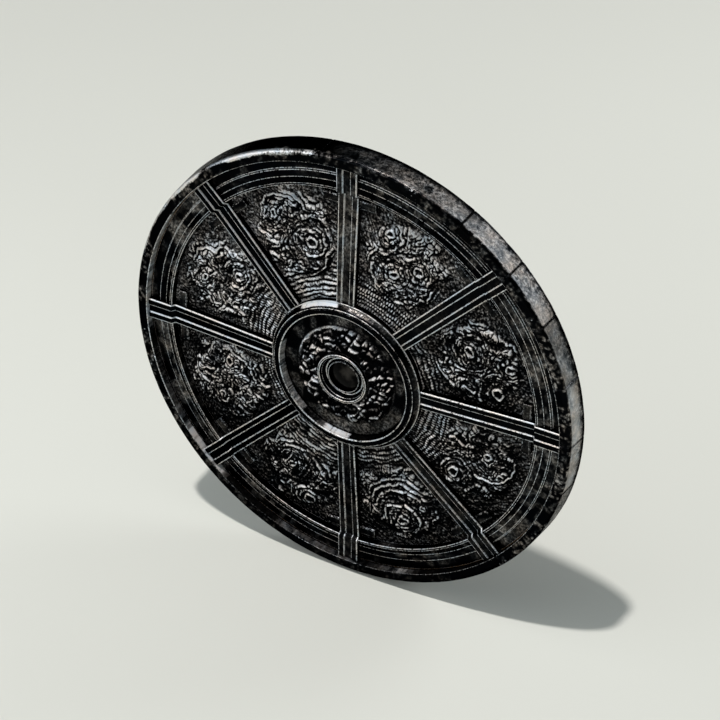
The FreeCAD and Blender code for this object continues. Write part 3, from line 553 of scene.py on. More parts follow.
def add(tree, kind, inputs=(), stops=(), **settings):
    """Add a node with its settings, and a ramp's stops as (place, colour or level).

    A kind without a family is a shader's. An input is a value, a socket to link from, or a
    node whose first output in use is linked.
    """
    made = tree.nodes.new(kind if "Node" in kind else "ShaderNode" + kind)
    for name, value in settings.items():
        setattr(made, name, value)
    for key, value in dict(inputs).items():
        if isinstance(value, bpy.types.Node):
            value = next(socket for socket in value.outputs if socket.enabled)
        if isinstance(value, bpy.types.NodeSocket):
            tree.links.new(value, made.inputs[key])
        else:
            made.inputs[key].default_value = value
    if stops:
        marks = made.color_ramp.elements
        while len(marks) < len(stops):
            marks.new(0.5)
        for mark, (place, shade) in zip(marks, stops):
            mark.position = place
            mark.color = (*shade, 1) if hasattr(shade, "__len__") else (shade, shade, shade, 1)
    return made


def started(name):
    """A new material, its empty tree, and the place on the object in metres."""
    material = bpy.data.materials.new(name)
    material.use_nodes = True
    tree = material.node_tree
    tree.nodes.clear()
    return material, tree, add(tree, "TexCoord").outputs["Object"]


def finished(material, inputs):
    """Close a material with a shader that has these inputs."""
    shader = add(material.node_tree, "BsdfPrincipled", inputs)
    add(material.node_tree, "OutputMaterial", {"Surface": shader})
    return material


def shaded(shade, times=1.0):
    """A colour made darker or lighter."""
    return tuple(value * times for value in shade)


def worn_iron(name, shades, grain, rough, polish, bump, broken=0.5, dotted=2.4, matt=0.0):
    """Iron whose skin goes from hollows over its ground to rubbed crests with the wear mark.

    The shades are stops of (level, colour): a level of 0.5 is the plain ground, 1 is an edge
    or a crest and 0 a hollow. The grain is the size of the skin's pits in metres. Rough and
    polish are the roughness of the ground and of what is rubbed. The pits break up the
    ground by the broken share and the rubbed lines by the dotted share. Matt is how far the
    skin is oxide instead of metal, and where the dull mark is high, grey oxide covers it.
    """
    # The wear and dull marks carry painted light on some pieces as well as wear: painted
    # highlights, and upper slopes painted lighter.
    material, tree, place = started(name)
    wear = add(tree, "Attribute", attribute_name="wear").outputs["Fac"]
    dull = add(tree, "Attribute", attribute_name="dull").outputs["Fac"]
    pits = add(tree, "TexNoise", {"Vector": place, "Scale": 1 / grain, "Detail": 5.0,
                                  "Roughness": 0.7})
    cloud = add(tree, "TexNoise", {"Vector": place, "Scale": 1 / 0.022, "Detail": 4.0,
                                   "Roughness": 0.6})
    stain = add(tree, "TexNoise", {"Vector": place, "Scale": 1 / 0.0038, "Detail": 7.0,
                                   "Roughness": 0.75})
    spread = add(tree, "Math", {0: pits, 1: broken, 2: 0.5 - broken / 2}, operation="MULTIPLY_ADD")
    hold = add(tree, "Math", {0: pits, 1: dotted, 2: 0.5 - dotted / 2}, operation="MULTIPLY_ADD")
    level = add(tree, "Math", {0: wear, 1: hold, 2: spread}, operation="MULTIPLY_ADD")
    skin = add(tree, "ValToRGB", {"Fac": level}, shades)
    oxide = add(tree, "ValToRGB", {"Fac": stain},
                [(0.42, shaded(colours().dull, 0.02)), (0.5, shaded(colours().dull, 0.3)),
                 (0.61, shaded(colours().dull, 1.25))])
    cover = add(tree, "MapRange", {"Value": cloud, "From Min": 0.36, "From Max": 0.46,
                                   "To Min": 0.15, "To Max": 1.0})
    covered = add(tree, "Math", {0: cover, 1: wear}, operation="MAXIMUM")
    dulled = add(tree, "Math", {0: dull, 1: covered}, operation="MULTIPLY", use_clamp=True)
    scoured = add(tree, "Mix", {"Factor": wear, "A": oxide, "B": (*colours().bare, 1)},
                  data_type="RGBA")
    base = add(tree, "Mix", {"Factor": dulled, "A": skin, "B": scoured}, data_type="RGBA")
    tint = add(tree, "ValToRGB", {"Fac": cloud},
               [(0.38, linear("#e4f2ff")), (0.5, linear("#f8f8f8")), (0.66, linear("#fff2e6"))])
    tinted = add(tree, "Mix", {"Factor": 0.7, "A": base, "B": tint},
                 data_type="RGBA", blend_type="MULTIPLY")
    bared = add(tree, "MapRange", {"Value": level, "From Min": 0.6, "From Max": 0.85,
                                   "To Min": rough, "To Max": polish})
    gloss = add(tree, "Mix", {"Factor": dulled, "A": bared, "B": 0.5})
    chalky = add(tree, "MapRange", {"Value": level, "From Min": 0.4, "From Max": 0.58,
                                    "To Min": 0.0, "To Max": matt})
    greyed = add(tree, "Math", {0: dulled, 1: 0.6}, operation="MULTIPLY")
    veil = add(tree, "Math", {0: greyed, 1: chalky}, operation="MAXIMUM")
    metal = add(tree, "Math", {0: 1.0, 1: veil}, operation="SUBTRACT")
    dents = add(tree, "Bump", {"Height": pits, "Strength": bump, "Distance": grain * 0.5})
    return finished(material, {"Base Color": tinted, "Roughness": gloss, "Metallic": metal,
                               "Specular Tint": (0.1, 0.1, 0.1, 1), "Normal": dents})


def black_shades():
    """A black skin that holds on flats and is gone from the edges."""
    black, bare = shaded(colours().black), shaded(colours().bare)
    return (0.3, black), (0.72, black), (0.84, shaded(bare, 0.3)), (0.95, bare)


def rim_iron():
    """Planished sheet iron, oil-blackened: a tight black gloss, bright where edges rub."""
    return worn_iron("Planished black iron", black_shades(), 0.0026, 0.2, 0.32, 0.3, 0.5, 0.9)


def moulding_iron():
    """Filed and burnished iron, blackened hot: near black, with hard bright arrises."""
    return worn_iron("Burnished black iron", black_shades(), 0.0024, 0.16, 0.5, 0.2)


def chased_iron():
    """Iron sheet embossed from behind and chased: matt grey ground and rubbed crests."""
    stipple = colours().ground
    shades = ((0.38, shaded(colours().black)), (0.47, shaded(stipple, 0.25)),
              (0.56, shaded(stipple)), (0.67, shaded(stipple, 3.2)), (0.79, shaded(stipple, 8.0)),
              (0.95, shaded(colours().bare)))
    return worn_iron("Chased black iron", shades, 0.0019, 0.5, 0.36, 1.0, 0.9, 1.0, 0.45)


def fittings_iron():
    """Forged and filed iron, oiled: dark grey with a satin sheen."""
    shades = ((0.3, linear("#1e1d1c")), (0.5, linear("#3a3836")), (0.68, linear("#474543")),
              (0.95, linear("#96989a")))
    return worn_iron("Forged oiled iron", shades, 0.0018, 0.5, 0.36, 0.4)


def eye_polish():
    """Black glass-like polish on the eye's disc, with only a breath of haze."""
    material, tree, place = started("Mirror black iron")
    haze = add(tree, "TexNoise", {"Vector": place, "Scale": 1 / 0.022, "Detail": 4.0})
    gloss = add(tree, "MapRange", {"Value": haze, "From Min": 0.35, "From Max": 0.7,
                                   "To Min": 0.16, "To Max": 0.28})
    shade = add(tree, "ValToRGB", {"Fac": haze},
                [(0.42, linear("#060606")), (0.62, linear("#32302e"))])
    return finished(material, {"Base Color": shade, "Roughness": gloss, "Metallic": 1.0})


def wood(name, pale, ring, grain_axis, rough):
    """Planed and oiled wood: drawn-out grain, darker late wood and fine open pores.

    The ring is the width of a growth ring in metres. The grain axis says how the pattern is
    drawn out, or "round" for wood that is bent round the shield.
    """
    material, tree, place = started(name)
    if grain_axis == "round":
        parts = add(tree, "SeparateXYZ", {"Vector": place}).outputs
        angle = add(tree, "Math", {0: parts["Z"], 1: parts["X"]}, operation="ARCTAN2")
        flat = add(tree, "CombineXYZ", {"X": parts["X"], "Y": parts["Z"]})
        reach = add(tree, "VectorMath", {0: flat}, operation="LENGTH")
        along = add(tree, "Math", {0: angle, 1: 0.016}, operation="MULTIPLY")
        drawn = add(tree, "CombineXYZ", {"X": reach, "Y": parts["Y"], "Z": along})
    else:
        drawn = add(tree, "Mapping", {"Vector": place, "Scale": grain_axis}, vector_type="POINT")
    tone = add(tree, "Attribute", attribute_name="tone").outputs["Fac"]
    shift = add(tree, "CombineXYZ", {"X": tone})
    moved = add(tree, "VectorMath", {0: drawn, 1: shift}, operation="ADD")
    rings = add(tree, "TexNoise", {"Vector": moved, "Scale": 1 / ring, "Detail": 3.0,
                                   "Distortion": 0.6})
    pores = add(tree, "TexNoise", {"Vector": moved, "Scale": 5 / ring, "Detail": 4.0,
                                   "Roughness": 0.7})
    body = add(tree, "ValToRGB", {"Fac": rings},
               [(0.35, pale), (0.5, shaded(pale, 0.8)), (0.62, shaded(pale, 0.45))])
    specks = add(tree, "ValToRGB", {"Fac": pores}, [(0.42, 0.55), (0.55, 1.0)])
    mixed = add(tree, "Mix", {"Factor": 0.6, "A": body, "B": specks},
                data_type="RGBA", blend_type="MULTIPLY")
    raised = add(tree, "Bump", {"Height": pores, "Strength": 0.35, "Distance": 0.0003})
    return finished(material, {"Base Color": mixed, "Roughness": rough, "Normal": raised})


def leather(name, shade, grain, rough):
    """Vegetable-tanned leather: pebbled grain, darker in the creases and at worn edges.

    The grain is the size of one pebble in metres, drawn coarser than the real one.
    """
    material, tree, place = started(name)
    wear = add(tree, "Attribute", attribute_name="wear").outputs["Fac"]
    pebbles = add(tree, "TexVoronoi", {"Vector": place, "Scale": 1 / grain},
                  feature="DISTANCE_TO_EDGE")
    creases = add(tree, "TexNoise", {"Vector": place, "Scale": 1 / 0.012,
                                     "Detail": 6.0, "Roughness": 0.65})
    body = add(tree, "ValToRGB", {"Fac": creases},
               [(0.32, shaded(shade, 0.45)), (0.5, shaded(shade)), (0.72, shaded(shade, 1.7))])
    edge = add(tree, "Mix",
               {"Factor": wear, "A": body, "B": (*shaded(shade, 0.3), 1)}, data_type="RGBA")
    gloss = add(tree, "MapRange", {"Value": creases, "From Min": 0.3, "From Max": 0.7,
                                   "To Min": rough + 0.12, "To Max": rough - 0.1})
    skin = add(tree, "Bump", {"Height": pebbles, "Strength": 0.45, "Distance": 0.0004})
    fold = add(tree, "Bump", {"Height": creases, "Strength": 0.4, "Distance": 0.0008,
                              "Normal": skin})
    return finished(material, {"Base Color": edge, "Roughness": gloss, "Normal": fold})


def waxed_thread():
    """Waxed linen thread: pale, fibrous and without gloss."""
    material, tree, place = started("Waxed linen thread")
    fibre = add(tree, "TexNoise", {"Vector": place, "Scale": 1 / 0.0005, "Detail": 3.0})
    shade = add(tree, "ValToRGB", {"Fac": fibre},
                [(0.3, shaded(colours().thread, 0.6)), (0.65, shaded(colours().thread))])
    return finished(material, {"Base Color": shade, "Roughness": 0.7})


def dull_brass():
    """Cast brass nail heads, dulled brown where hands don't reach."""
    material, tree, place = started("Dulled brass")
    tarnish = add(tree, "TexNoise", {"Vector": place, "Scale": 1 / 0.003, "Detail": 5.0})
    shade = add(tree, "ValToRGB", {"Fac": tarnish},
                [(0.36, linear("#5d4526")), (0.6, shaded(colours().brass))])
    gloss = add(tree, "MapRange", {"Value": tarnish, "From Min": 0.3, "From Max": 0.7,
                                   "To Min": 0.5, "To Max": 0.28})
    return finished(material, {"Base Color": shade, "Roughness": gloss, "Metallic": 1.0})


# What repeats

def repeat_tree():
    """Geometry nodes that set one pattern on every point, turned and sized to its marks."""
    found = bpy.data.node_groups.get("Set on points")
    if found:
        return found
    tree = bpy.data.node_groups.new("Set on points", "GeometryNodeTree")
    for label, kind in (("Points", "NodeSocketGeometry"), ("Pattern", "NodeSocketObject"),
                        ("Size", "NodeSocketFloat"), ("Size Variation", "NodeSocketFloat"),
                        ("Turn Variation", "NodeSocketFloat"), ("Seed", "NodeSocketInt"),
                        ("Finish", "NodeSocketMaterial")):
        tree.interface.new_socket(label, in_out="INPUT", socket_type=kind)
    tree.interface.new_socket("Result", in_out="OUTPUT", socket_type="NodeSocketGeometry")
    given = add(tree, "NodeGroupInput").outputs
    pattern = add(tree, "GeometryNodeObjectInfo", {"Object": given["Pattern"]}).outputs
    facing, along = (add(tree, "GeometryNodeInputNamedAttribute", {"Name": label},
                         data_type="FLOAT_VECTOR") for label in ("facing", "along"))
    upright = add(tree, "FunctionNodeAxesToRotation",
                  {"Primary Axis": facing, "Secondary Axis": along},
                  primary_axis="Z", secondary_axis="X")
    chance = add(tree, "FunctionNodeRandomValue", {"Min": -1.0, "Max": 1.0, "Seed": given["Seed"]},
                 data_type="FLOAT").outputs["Value"]
    turn_by = add(tree, "Math", {0: chance, 1: given["Turn Variation"]}, operation="MULTIPLY")
    turn_axis = add(tree, "CombineXYZ", {"Z": turn_by})
    own = add(tree, "FunctionNodeEulerToRotation", {"Euler": turn_axis})
    rotation = add(tree, "FunctionNodeRotateRotation", {"Rotation": upright, "Rotate By": own},
                   rotation_space="LOCAL")
    grow = add(tree, "Math", {0: chance, 1: given["Size Variation"], 2: 1.0},
               operation="MULTIPLY_ADD")
    scale = add(tree, "Math", {0: grow, 1: given["Size"]}, operation="MULTIPLY")
    placed = add(tree, "GeometryNodeInstanceOnPoints",
                 {"Points": given["Points"], "Instance": pattern["Geometry"],
                  "Rotation": rotation, "Scale": scale})
    real = add(tree, "GeometryNodeRealizeInstances", {"Geometry": placed})
    coated = add(tree, "GeometryNodeSetMaterial", {"Geometry": real, "Material": given["Finish"]})
    add(tree, "NodeGroupOutput", {"Result": coated})
    return tree


def repeated(name, pattern, places, facing=(0, 1, 0), along=None, size_variation=0.0,
             turn_variation=0.0):
    """A pattern set on every place, with Geometry Nodes, as one plain mesh."""
    carrier = bpy.data.meshes.new(name)
    carrier.from_pydata([tuple(place) for place in places], [], [])
    facing = np.broadcast_to(np.array(facing, float), (len(places), 3))
    if along is None:
        along = [Vector(way).orthogonal() for way in facing]
    for label, ways in (("facing", facing), ("along", along)):
        layer = carrier.attributes.new(label, "FLOAT_VECTOR", "POINT")
        layer.data.foreach_set("vector", np.array(ways, float).ravel())
    made = stood(name, carrier)
    modifier = made.modifiers.new("Set on points", "NODES")
    modifier.node_group = repeat_tree()
    given = {"Pattern": pattern, "Size": 1.0, "Size Variation": size_variation,
             "Turn Variation": turn_variation, "Seed": sizes().seed,
             "Finish": pattern.data.materials[0]}
    for item in modifier.node_group.interface.items_tree:
        if item.in_out == "INPUT" and item.name in given:
            modifier[item.identifier] = given[item.name]
    settle(made)
    bpy.data.objects.remove(pattern)
    return made


def turned_pattern(name, outline, sides, material, wear=None):
    """A small turned shape about Z for repeating, from (radius, height) points in millimetres.

    The outline runs from a point on the axis round to another.
    """
    points = [(0, 0, outline[0][1]), (0, 0, outline[-1][1])]
    ring_count = len(outline) - 2
    for radius, height in outline[1:-1]:
        for side in range(sides):
            angle = FULL_TURN * side / sides
            points.append((radius * cos(angle), radius * sin(angle), height))
    faces = []
    for side in range(sides):
        following = (side + 1) % sides
        faces.append([0, 2 + following, 2 + side])
        last = 2 + (ring_count - 1) * sides
        faces.append([1, last + side, last + following])
        for index in range(ring_count - 1):
            low = 2 + index * sides
            high = low + sides
            faces.append([low + side, low + following, high + following, high + side])
    levels = [0.0, 0.0] + [level for level in (wear or [0.5] * ring_count)
                           for _ in range(sides)]
    return piece(name, np.array(points) * MM, faces, material, {"wear": levels}, 50)


# Rim

def rim_outline():
    """The section of a rim plate, its front rolled over to the wall."""
    corners = [(RIM_FLANGE, 0.0), (RIM_BACK, 0.0), (RIM_FRONT, RIM_DEPTH),
               (RIM_INNER, RIM_DEPTH), (RIM_INNER, RIM_FOOT), (RIM_INNER + RIM_SHEET, RIM_FOOT),
               (RIM_INNER + RIM_SHEET, RIM_DEPTH - RIM_SHEET),
               (RIM_FRONT - RIM_SHEET, RIM_DEPTH - RIM_SHEET),
               (RIM_BACK - RIM_SHEET, RIM_SHEET), (RIM_FLANGE, RIM_SHEET)]
    radii = [0.5, 1.2, RIM_ROLL, 1.1, 0.5, 0, 0, RIM_ROLL - RIM_SHEET, 0.8, 0]
    return divided(*rounded(corners, radii, steps=6), 2.4)


def planished(points):
    """The hammer's shallow dents, in millimetres below the drawn surface."""
    return 0.2 + 0.17 * noise(points, 15.0, 3) + 0.05 * noise(points, 5.0, 4)


def rim_wear_and_painted_highlights(at):
    """Bare iron in patches and specks on the roll, and painted highlights: the roll painted bright
    along the upper left, and light facets on the inner wall.
    """
    # Painted highlight: held and near paint the roll bright and wide along the upper left.
    held = around(at.angle, (0, -0.9), (70, -0.8), (90, -0.4), (99, 0.5), (118, 1.0), (125, 0.7),
                  (131, 0.1), (137, 1.0), (144, 0.9), (149, 0.4), (158, 0.5), (166, 0.4),
                  (175, -0.3), (190, -0.7), (250, -1.2), (330, -1.0))
    cloudy = 0.4 * noise(at.points, 34.0, 5) + 0.1 * noise(at.points, 6.0, 6)
    patch = smooth(-0.2, 0.9, cloudy + held)
    near = 293.0 - 3.2 * around(at.angle, (92, 0), (104, 1), (120, 0.6), (128, 0), (136, 0.8),
                                (144, 0.5), (152, 0))
    fade = smooth(near, near + 5.0, at.radius + 1.5 * noise(at.points, 12.0, 8))
    specks = smooth(0.35, 0.75, noise(at.points, 2.4, 7))
    specks = specks * smooth(0.1, 0.5, noise(at.points, 28.0, 12))
    specks = specks * around(at.angle, (0, 0.8), (70, 0.8), (100, 0.3), (140, 0.5), (180, 0.9),
                             (215, 0.4), (250, 0.1), (330, 0.7))
    roll = (at.radius > 288.0) & (at.height > 29.0)
    face = around(at.angle, (0, 0.8), (80, 0.5), (150, 0.9), (215, 0.8), (240, 0.4), (320, 0.6))
    # The inner wall's facets carry painted highlights.
    plain = np.maximum(at.first * face, 0.9 * rim_painted_facets(at, 0.5))
    wall = around(at.angle, (-18, 0.0), (-12, 0.5), (8, 0.6), (25, 0.3), (60, 0.3), (70, 0.0))
    wall = wall * (0.8 + 0.5 * noise(at.points, 12.0, 10))
    wall = wall * (at.height < 29) * smooth(4, 16, at.height)
    plain = np.where(at.radius > 297.0, np.maximum(wall, plain), plain)
    return np.where(roll, np.maximum(1.4 * patch * fade, 1.1 * specks), plain)


def rim_painted_facets(at, spread):
    """Levels of the inner wall's facets, painted highlights in stretches round the left and the
    foot.
    """
    # Painted highlights on the facets, in stretches round the left and the foot.
    level = around(at.angle, (20, 0.0), (60, 0.1), (120, 0.0), (146, 0.0), (150, 0.75), (184, 0.85),
                   (188, 0.1), (214, 0.5), (217, 1.1), (229, 1.1), (232, 0.1), (248, 0.1),
                   (250, 0.38), (272, 0.34), (275, 0.1), (286, 0.5), (291, 0.1), (330, 0.0))
    there = (at.radius < 284.2) & (at.height > 23.4) & (at.height < 33.6)
    draw = hashed(facets(at.angle, RIM_INNER, RIM_FACET), 9)
    return np.where(there, level * (1 + spread * draw), 0.0)


def rim_dull_and_painted_highlights(at):
    """Grey and brown where the wall is handled, and grey facets on the inner wall as painted
    highlights.
    """
    handled = around(at.angle, (-8, 0.8), (5, 1.0), (62, 1.0), (74, 0.8), (84, 0.45), (96, 0.0),
                     (128, 0.0), (142, 0.3), (205, 0.4), (300, 0.55), (345, 0.7))
    plate = np.searchsorted(RIM_SEAMS, at.angle)[:, None]
    blotch = 0.95 + 0.22 * hashed(plate, 8) + 0.35 * noise(at.points, 16.0, 10)
    outer = handled * blotch * smooth(295.5, 298.0, at.radius)
    outer = outer * smooth(2.0, 11.0, at.height + 2.0 * noise(at.points, 9.0, 11))
    seams = (at.angle[:, None] - np.array(RIM_SEAMS) + 180) % 360 - 180
    seam = np.radians(np.abs(seams).min(1)) * RIM_BACK
    outer = outer * smooth(0.7, 2.6, seam)
    outer = outer * (1 - smooth(29.0, 31.5, at.height + 1.5 * noise(at.points, 6.0, 13)))
    bloom = around(at.angle, (5, 0.5), (35, 0.4), (60, 0.1), (90, 0.35), (110, 0.15), (180, 0.35),
                   (215, 0.2), (240, 0.05), (300, 0.05), (335, 0.4))
    bloom = bloom * smooth(-0.3, 0.3, noise(at.points, 22.0, 15))
    bloom = bloom * (at.radius > 284.4) * (at.height > 26)
    bloom = 1.6 * bloom * smooth(0.0, 0.6, noise(at.points, 3.4, 14))
    # The inner wall's facets are painted highlights.
    return np.maximum(np.maximum(outer, bloom), rim_painted_facets(at, 0.3))


class SHIELD_OT_rim(bpy.types.Operator):
    """Make the rim's bent plates and the pins in their back flange."""

    bl_idname = "shield.rim"
    bl_label = "Rim"

    def execute(self, context):
        outline, wear = rim_outline()
        skin = rim_iron()
        trim = degrees(SEAM_GAP / 2 / RIM_BACK)
        rng = np.random.default_rng(sizes().seed)
        for index, (start, end) in enumerate(zip(RIM_SEAMS, RIM_ENDS)):
            name = "rim_plate_%02d" % (index + 1)
            made = lathe(name + "_skin", outline, wear, skin, 1.6, start + trim, end - trim, 0.9,
                         reeded_wall(rng, RIM_INNER, RIM_INNER, 22.5, 33.0, 0.12, 4))
            seated = rng.uniform(0.0, 0.3)
            pressed(made, lambda points: planished(points) + seated)
            rubbed(made, rim_wear_and_painted_highlights)
            rubbed(made, rim_dull_and_painted_highlights, "dull")
            fitted(made, "rim_iron", name)
        self.pins()
        return {"FINISHED"}

    def pins(self):
        """Flush pins, filed off level with the back flange."""
        places = []
        middle = (RIM_FLANGE + RIM_BACK - RIM_SHEET) / 2
        for start, end in zip(RIM_SEAMS, RIM_ENDS):
            count = max(2, round((end - start) / 15.0))
            for index in range(count):
                angle = radians(start + (end - start) * (index + 0.5) / count)
                places.append(turned(middle, angle, 0.0))
        shank = [(0, -14.0), (2.3, -14.0), (2.5, -13.0), (2.5, -0.4), (2.1, 0.0), (0, 0.0)]
        pattern = turned_pattern("pin", shank, 20, fittings_iron(), [0, 0, 0.6, 0.8])
        fitted(repeated("rim_pins_set", pattern, places), "fittings_iron", "rim_pins")


def reeded_wall(rng, foot, top, low, high, depth, width):
    """Small steps from facet to facet on a wall whose radius runs from its foot to its top."""
    def jitter(angles, grid):
        steps = np.repeat(rng.uniform(0, 1, len(angles) // width + 1), width)[:len(angles)]
        there = (grid[..., 0] > foot - 0.3) & (grid[..., 0] < top + 0.3)
        there = there & (grid[..., 1] > low) & (grid[..., 1] < high)
        change = np.zeros_like(grid)
        change[..., 0] = there * steps[:, None] * depth
        return change
    return jitter


# Cornice

def cornice_face():
    """The cornice's front, from its inner wall out to the rim."""
    return [(CORNICE_INNER, 28.3), (253.2, 28.3), (260.2, 25.6), (269.2, 25.6), (270.2, 23.0),
            (CORNICE_OUTER, 23.0)]


def cornice_dull(at):
    """Soft grey stretches along the moulding's flats, in blocks."""
    held = around(at.angle, (0, 0.35), (30, 0.25), (50, 0.0), (120, -0.1), (150, 0.35), (215, 0.4),
                  (240, 0.0), (290, 0.1), (315, 0.35), (345, 0.4))
    row = np.floor(at.radius / 8.0).astype(np.int64)[:, None]
    block = np.concatenate([facets(at.angle, RIM_INNER, 9.0), row], -1)
    patch = 0.5 * noise(at.points, 24.0, 15) + 0.35 * hashed(block, 16) + held
    return 0.4 * smooth(0.1, 0.9, patch)


class SHIELD_OT_cornice(bpy.types.Operator):
    """Make the stepped moulding between the rim and the panels."""

    bl_idname = "shield.cornice"
    bl_label = "Cornice"

    def execute(self, context):
        inner = CORNICE_INNER + CORNICE_SHEET
        front = [(CORNICE_INNER, ground(CORNICE_INNER) + SEAT_GAP), *cornice_face()]
        lining = [(x - shift, y - CORNICE_SHEET) for x, y, shift in (
            (CORNICE_OUTER, 23.0, 0.0), (270.2, 23.0, 1.5), (269.2, 25.6, 1.5), (260.2, 25.6, 0.0),
            (253.2, 28.3, 0.0), (inner, 28.3, 0.0))]
        lining.append((inner, ground(inner) + SEAT_GAP))
        radii = [0.3, 0.7, 0.7, 0.6, 0.8, 0.5, 0.3] + [0.0] * len(lining)
        outline, wear = divided(*rounded(front + lining, radii), 3.0)
        made = lathe("cornice_moulding", outline, wear, moulding_iron(), 2.0)
        pressed(made, lambda points: 0.12 + 0.11 * noise(points, 14.0, 11)
                + 0.08 * np.clip(noise(points, 4.0, 12), 0, 1))
        rubbed(made, cornice_dull, "dull")
        fitted(made, "black_iron", "cornice_ring")
        return {"FINISHED"}


# Panels

# What is chased on each panel. An eye is (across, along, reach) and an arc is part of an oval,
# (across, along, half width, half height, start, end), with along from the axis and the angles
# in degrees. Beads says how far the flutes are cut into beads, flutes is the radius to which
# they run, and tone is painted light: how much lighter the panel is painted, the upper panels
# lighter and the lower ones darker.
CHASING = (
    {"eyes": ((16, 180, 13), (-44, 198, 15), (-12, 226, 10)),
     "arcs": ((-44, 194, 21, 24, 100, 290), (10, 150, 40, 18, 190, 330)),
     "beads": 0.2, "flutes": 128, "tone": -0.02},
    {"eyes": ((30, 212, 12), (-20, 190, 11), (6, 168, 11)),
     "arcs": ((-6, 172, 46, 44, 140, 380), (-6, 172, 40, 38, 150, 350), (30, 212, 19, 17, 0, 200)),
     "beads": 0.8, "flutes": 138, "tone": 0.05},
    {"eyes": ((-19, 173, 15), (22, 214, 9)),
     "arcs": ((15, 212, 36, 29, 10, 185), (15, 212, 31, 24, 20, 150), (4, 170, 46, 36, 200, 345),
              (-19, 173, 19, 19, 150, 330)),
     "beads": 0.1, "flutes": 140, "tone": 0.06},
    {"eyes": ((-20, 172, 11), (16, 212, 9)),
     "arcs": ((-20, 172, 16, 15, 180, 400), (10, 205, 40, 34, 60, 170)),
     "beads": 0.9, "flutes": 146, "tone": 0.05},
    {"eyes": ((20, 206, 10), (-24, 172, 10)),
     "arcs": ((0, 190, 44, 46, 200, 290), (-18, 214, 24, 18, 20, 170)),
     "beads": 0.4, "flutes": 122, "tone": -0.03},
    {"eyes": ((31, 225, 16), (-12, 186, 9)),
     "arcs": ((0, 208, 52, 62, 215, 330), (0, 210, 44, 54, 225, 325), (31, 225, 21, 20, 90, 270)),
     "beads": 0.0, "flutes": 150, "tone": -0.05},
    {"eyes": ((-7, 211, 12), (30, 196, 8)),
     "arcs": ((0, 208, 52, 58, 205, 335), (0, 208, 45, 50, 200, 340), (0, 209, 38, 42, 205, 330),
              (-7, 211, 25, 24, 150, 400)),
     "beads": 0.3, "flutes": 132, "tone": -0.05},
    {"eyes": ((-34, 170, 14), (18, 196, 10), (2, 222, 9)),
     "arcs": ((-34, 170, 19, 19, 170, 330), (14, 200, 34, 30, 60, 200)),
     "beads": 1.0, "flutes": 142, "tone": -0.04})


def curled(moved, across, along, reach, seed):
    """Leaves from 0 to about 1: lumps that circle an eye, and rings about its hollow."""
    beside, beyond = moved[..., 0] - across, moved[..., 1] - along
    away = np.hypot(beside, beyond)
    turn = np.arctan2(beyond, beside)
    petal = np.stack([1.3 * np.cos(turn), 1.3 * np.sin(turn), away / 5.5], -1)
    lumps = billows(petal, 1.0, seed + 1)
    lumps = lumps * (0.35 + 0.65 * billows(petal, 0.45, seed + 2))
    share = away / reach * (1 + 0.12 * noise(petal, 1.0, seed))
    width = 1.7 / reach
    rings = 1.25 * np.exp(-((share - 0.45) / width) ** 2)
    rings = rings + (0.4 + 0.8 * lumps) * np.exp(-((share - 0.95) / width) ** 2)
    core = np.exp(-(share / 1.2) ** 4)
    leaves = 1.2 * lumps * (1 - core) + (rings + 0.25 * lumps) * core
    return leaves * smooth(0.12, 0.3, share), away


def arched(moved, leaves, arcs):
    """Set bold ridges along stretches of ovals, with a hollow beside each."""
    lumps = 0.8 + 0.7 * billows(moved, 7.0, 18)
    for across, along, wide, high, start, end in arcs:
        beside, beyond = (moved[..., 0] - across) / wide, (moved[..., 1] - along) / high
        away = (np.hypot(beside, beyond) - 1) * (wide + high) / 2
        turn = (np.degrees(np.arctan2(beyond, beside)) - start) % 360
        there = smooth(0, 14, turn) * (1 - smooth(end - start - 14, end - start, turn))
        leaves = leaves * (1 - 0.95 * there * np.exp(-(away / 4.2) ** 4))
        leaves = leaves + there * np.exp(-(away / 2.0) ** 2) * lumps
    return leaves


def foliage(spot, plan, seed):
    """Chased leaves from 0 to about 1: loose lumps, and curls that wind round the eyes."""
    size = sizes().leaf_size / MM
    bend, small_bend = drift(spot, 17.0, seed), drift(spot, 5.5, seed + 2)
    bent = spot + 5.0 * bend + 1.8 * small_bend
    leaves = 1.2 * billows(bent, size * 1.2, seed + 5)
    leaves = leaves * (0.35 + 0.65 * billows(bent, size * 0.6, seed + 6))
    moved = spot + 2.8 * bend + 1.5 * small_bend
    total = 0.16
    leaves = leaves * total
    for number, (across, along, reach) in enumerate(plan["eyes"]):
        curls, away = curled(moved, across, along, reach, seed + 20 + 3 * number)
        share = np.exp(-(away / (1.7 * reach)) ** 2)
        leaves = leaves + curls * share
        total = total + share
    return arched(moved, leaves / total, plan["arcs"])


def facing_up(relief, radius, angle):
    """How far a turned grid's surface tips upwards: the first way out, the second round."""
    outwards = np.gradient(relief, axis=0) / np.gradient(radius, axis=0)
    round_it = np.gradient(relief, axis=1) / (np.gradient(angle, axis=1) * radius)
    return -(outwards * np.sin(angle) + round_it * np.cos(angle))


def wiped_and_painted_from_above(relief, radius, angle, proud, times):
    """Wear and painted light: crests are rubbed bright and the hollows keep their black, and upper
    slopes are painted lighter and lower slopes darker as light from above.
    """
    level = proud * np.clip((relief - softened(relief, 10)) / 0.6, -2, 2)
    # Painted light from above: upper slopes lighter, lower slopes darker.
    level = level + 1.2 * np.clip(facing_up(softened(relief, times), radius, angle), -1.5, 1.5)
    return level / (1.7 * level.std())


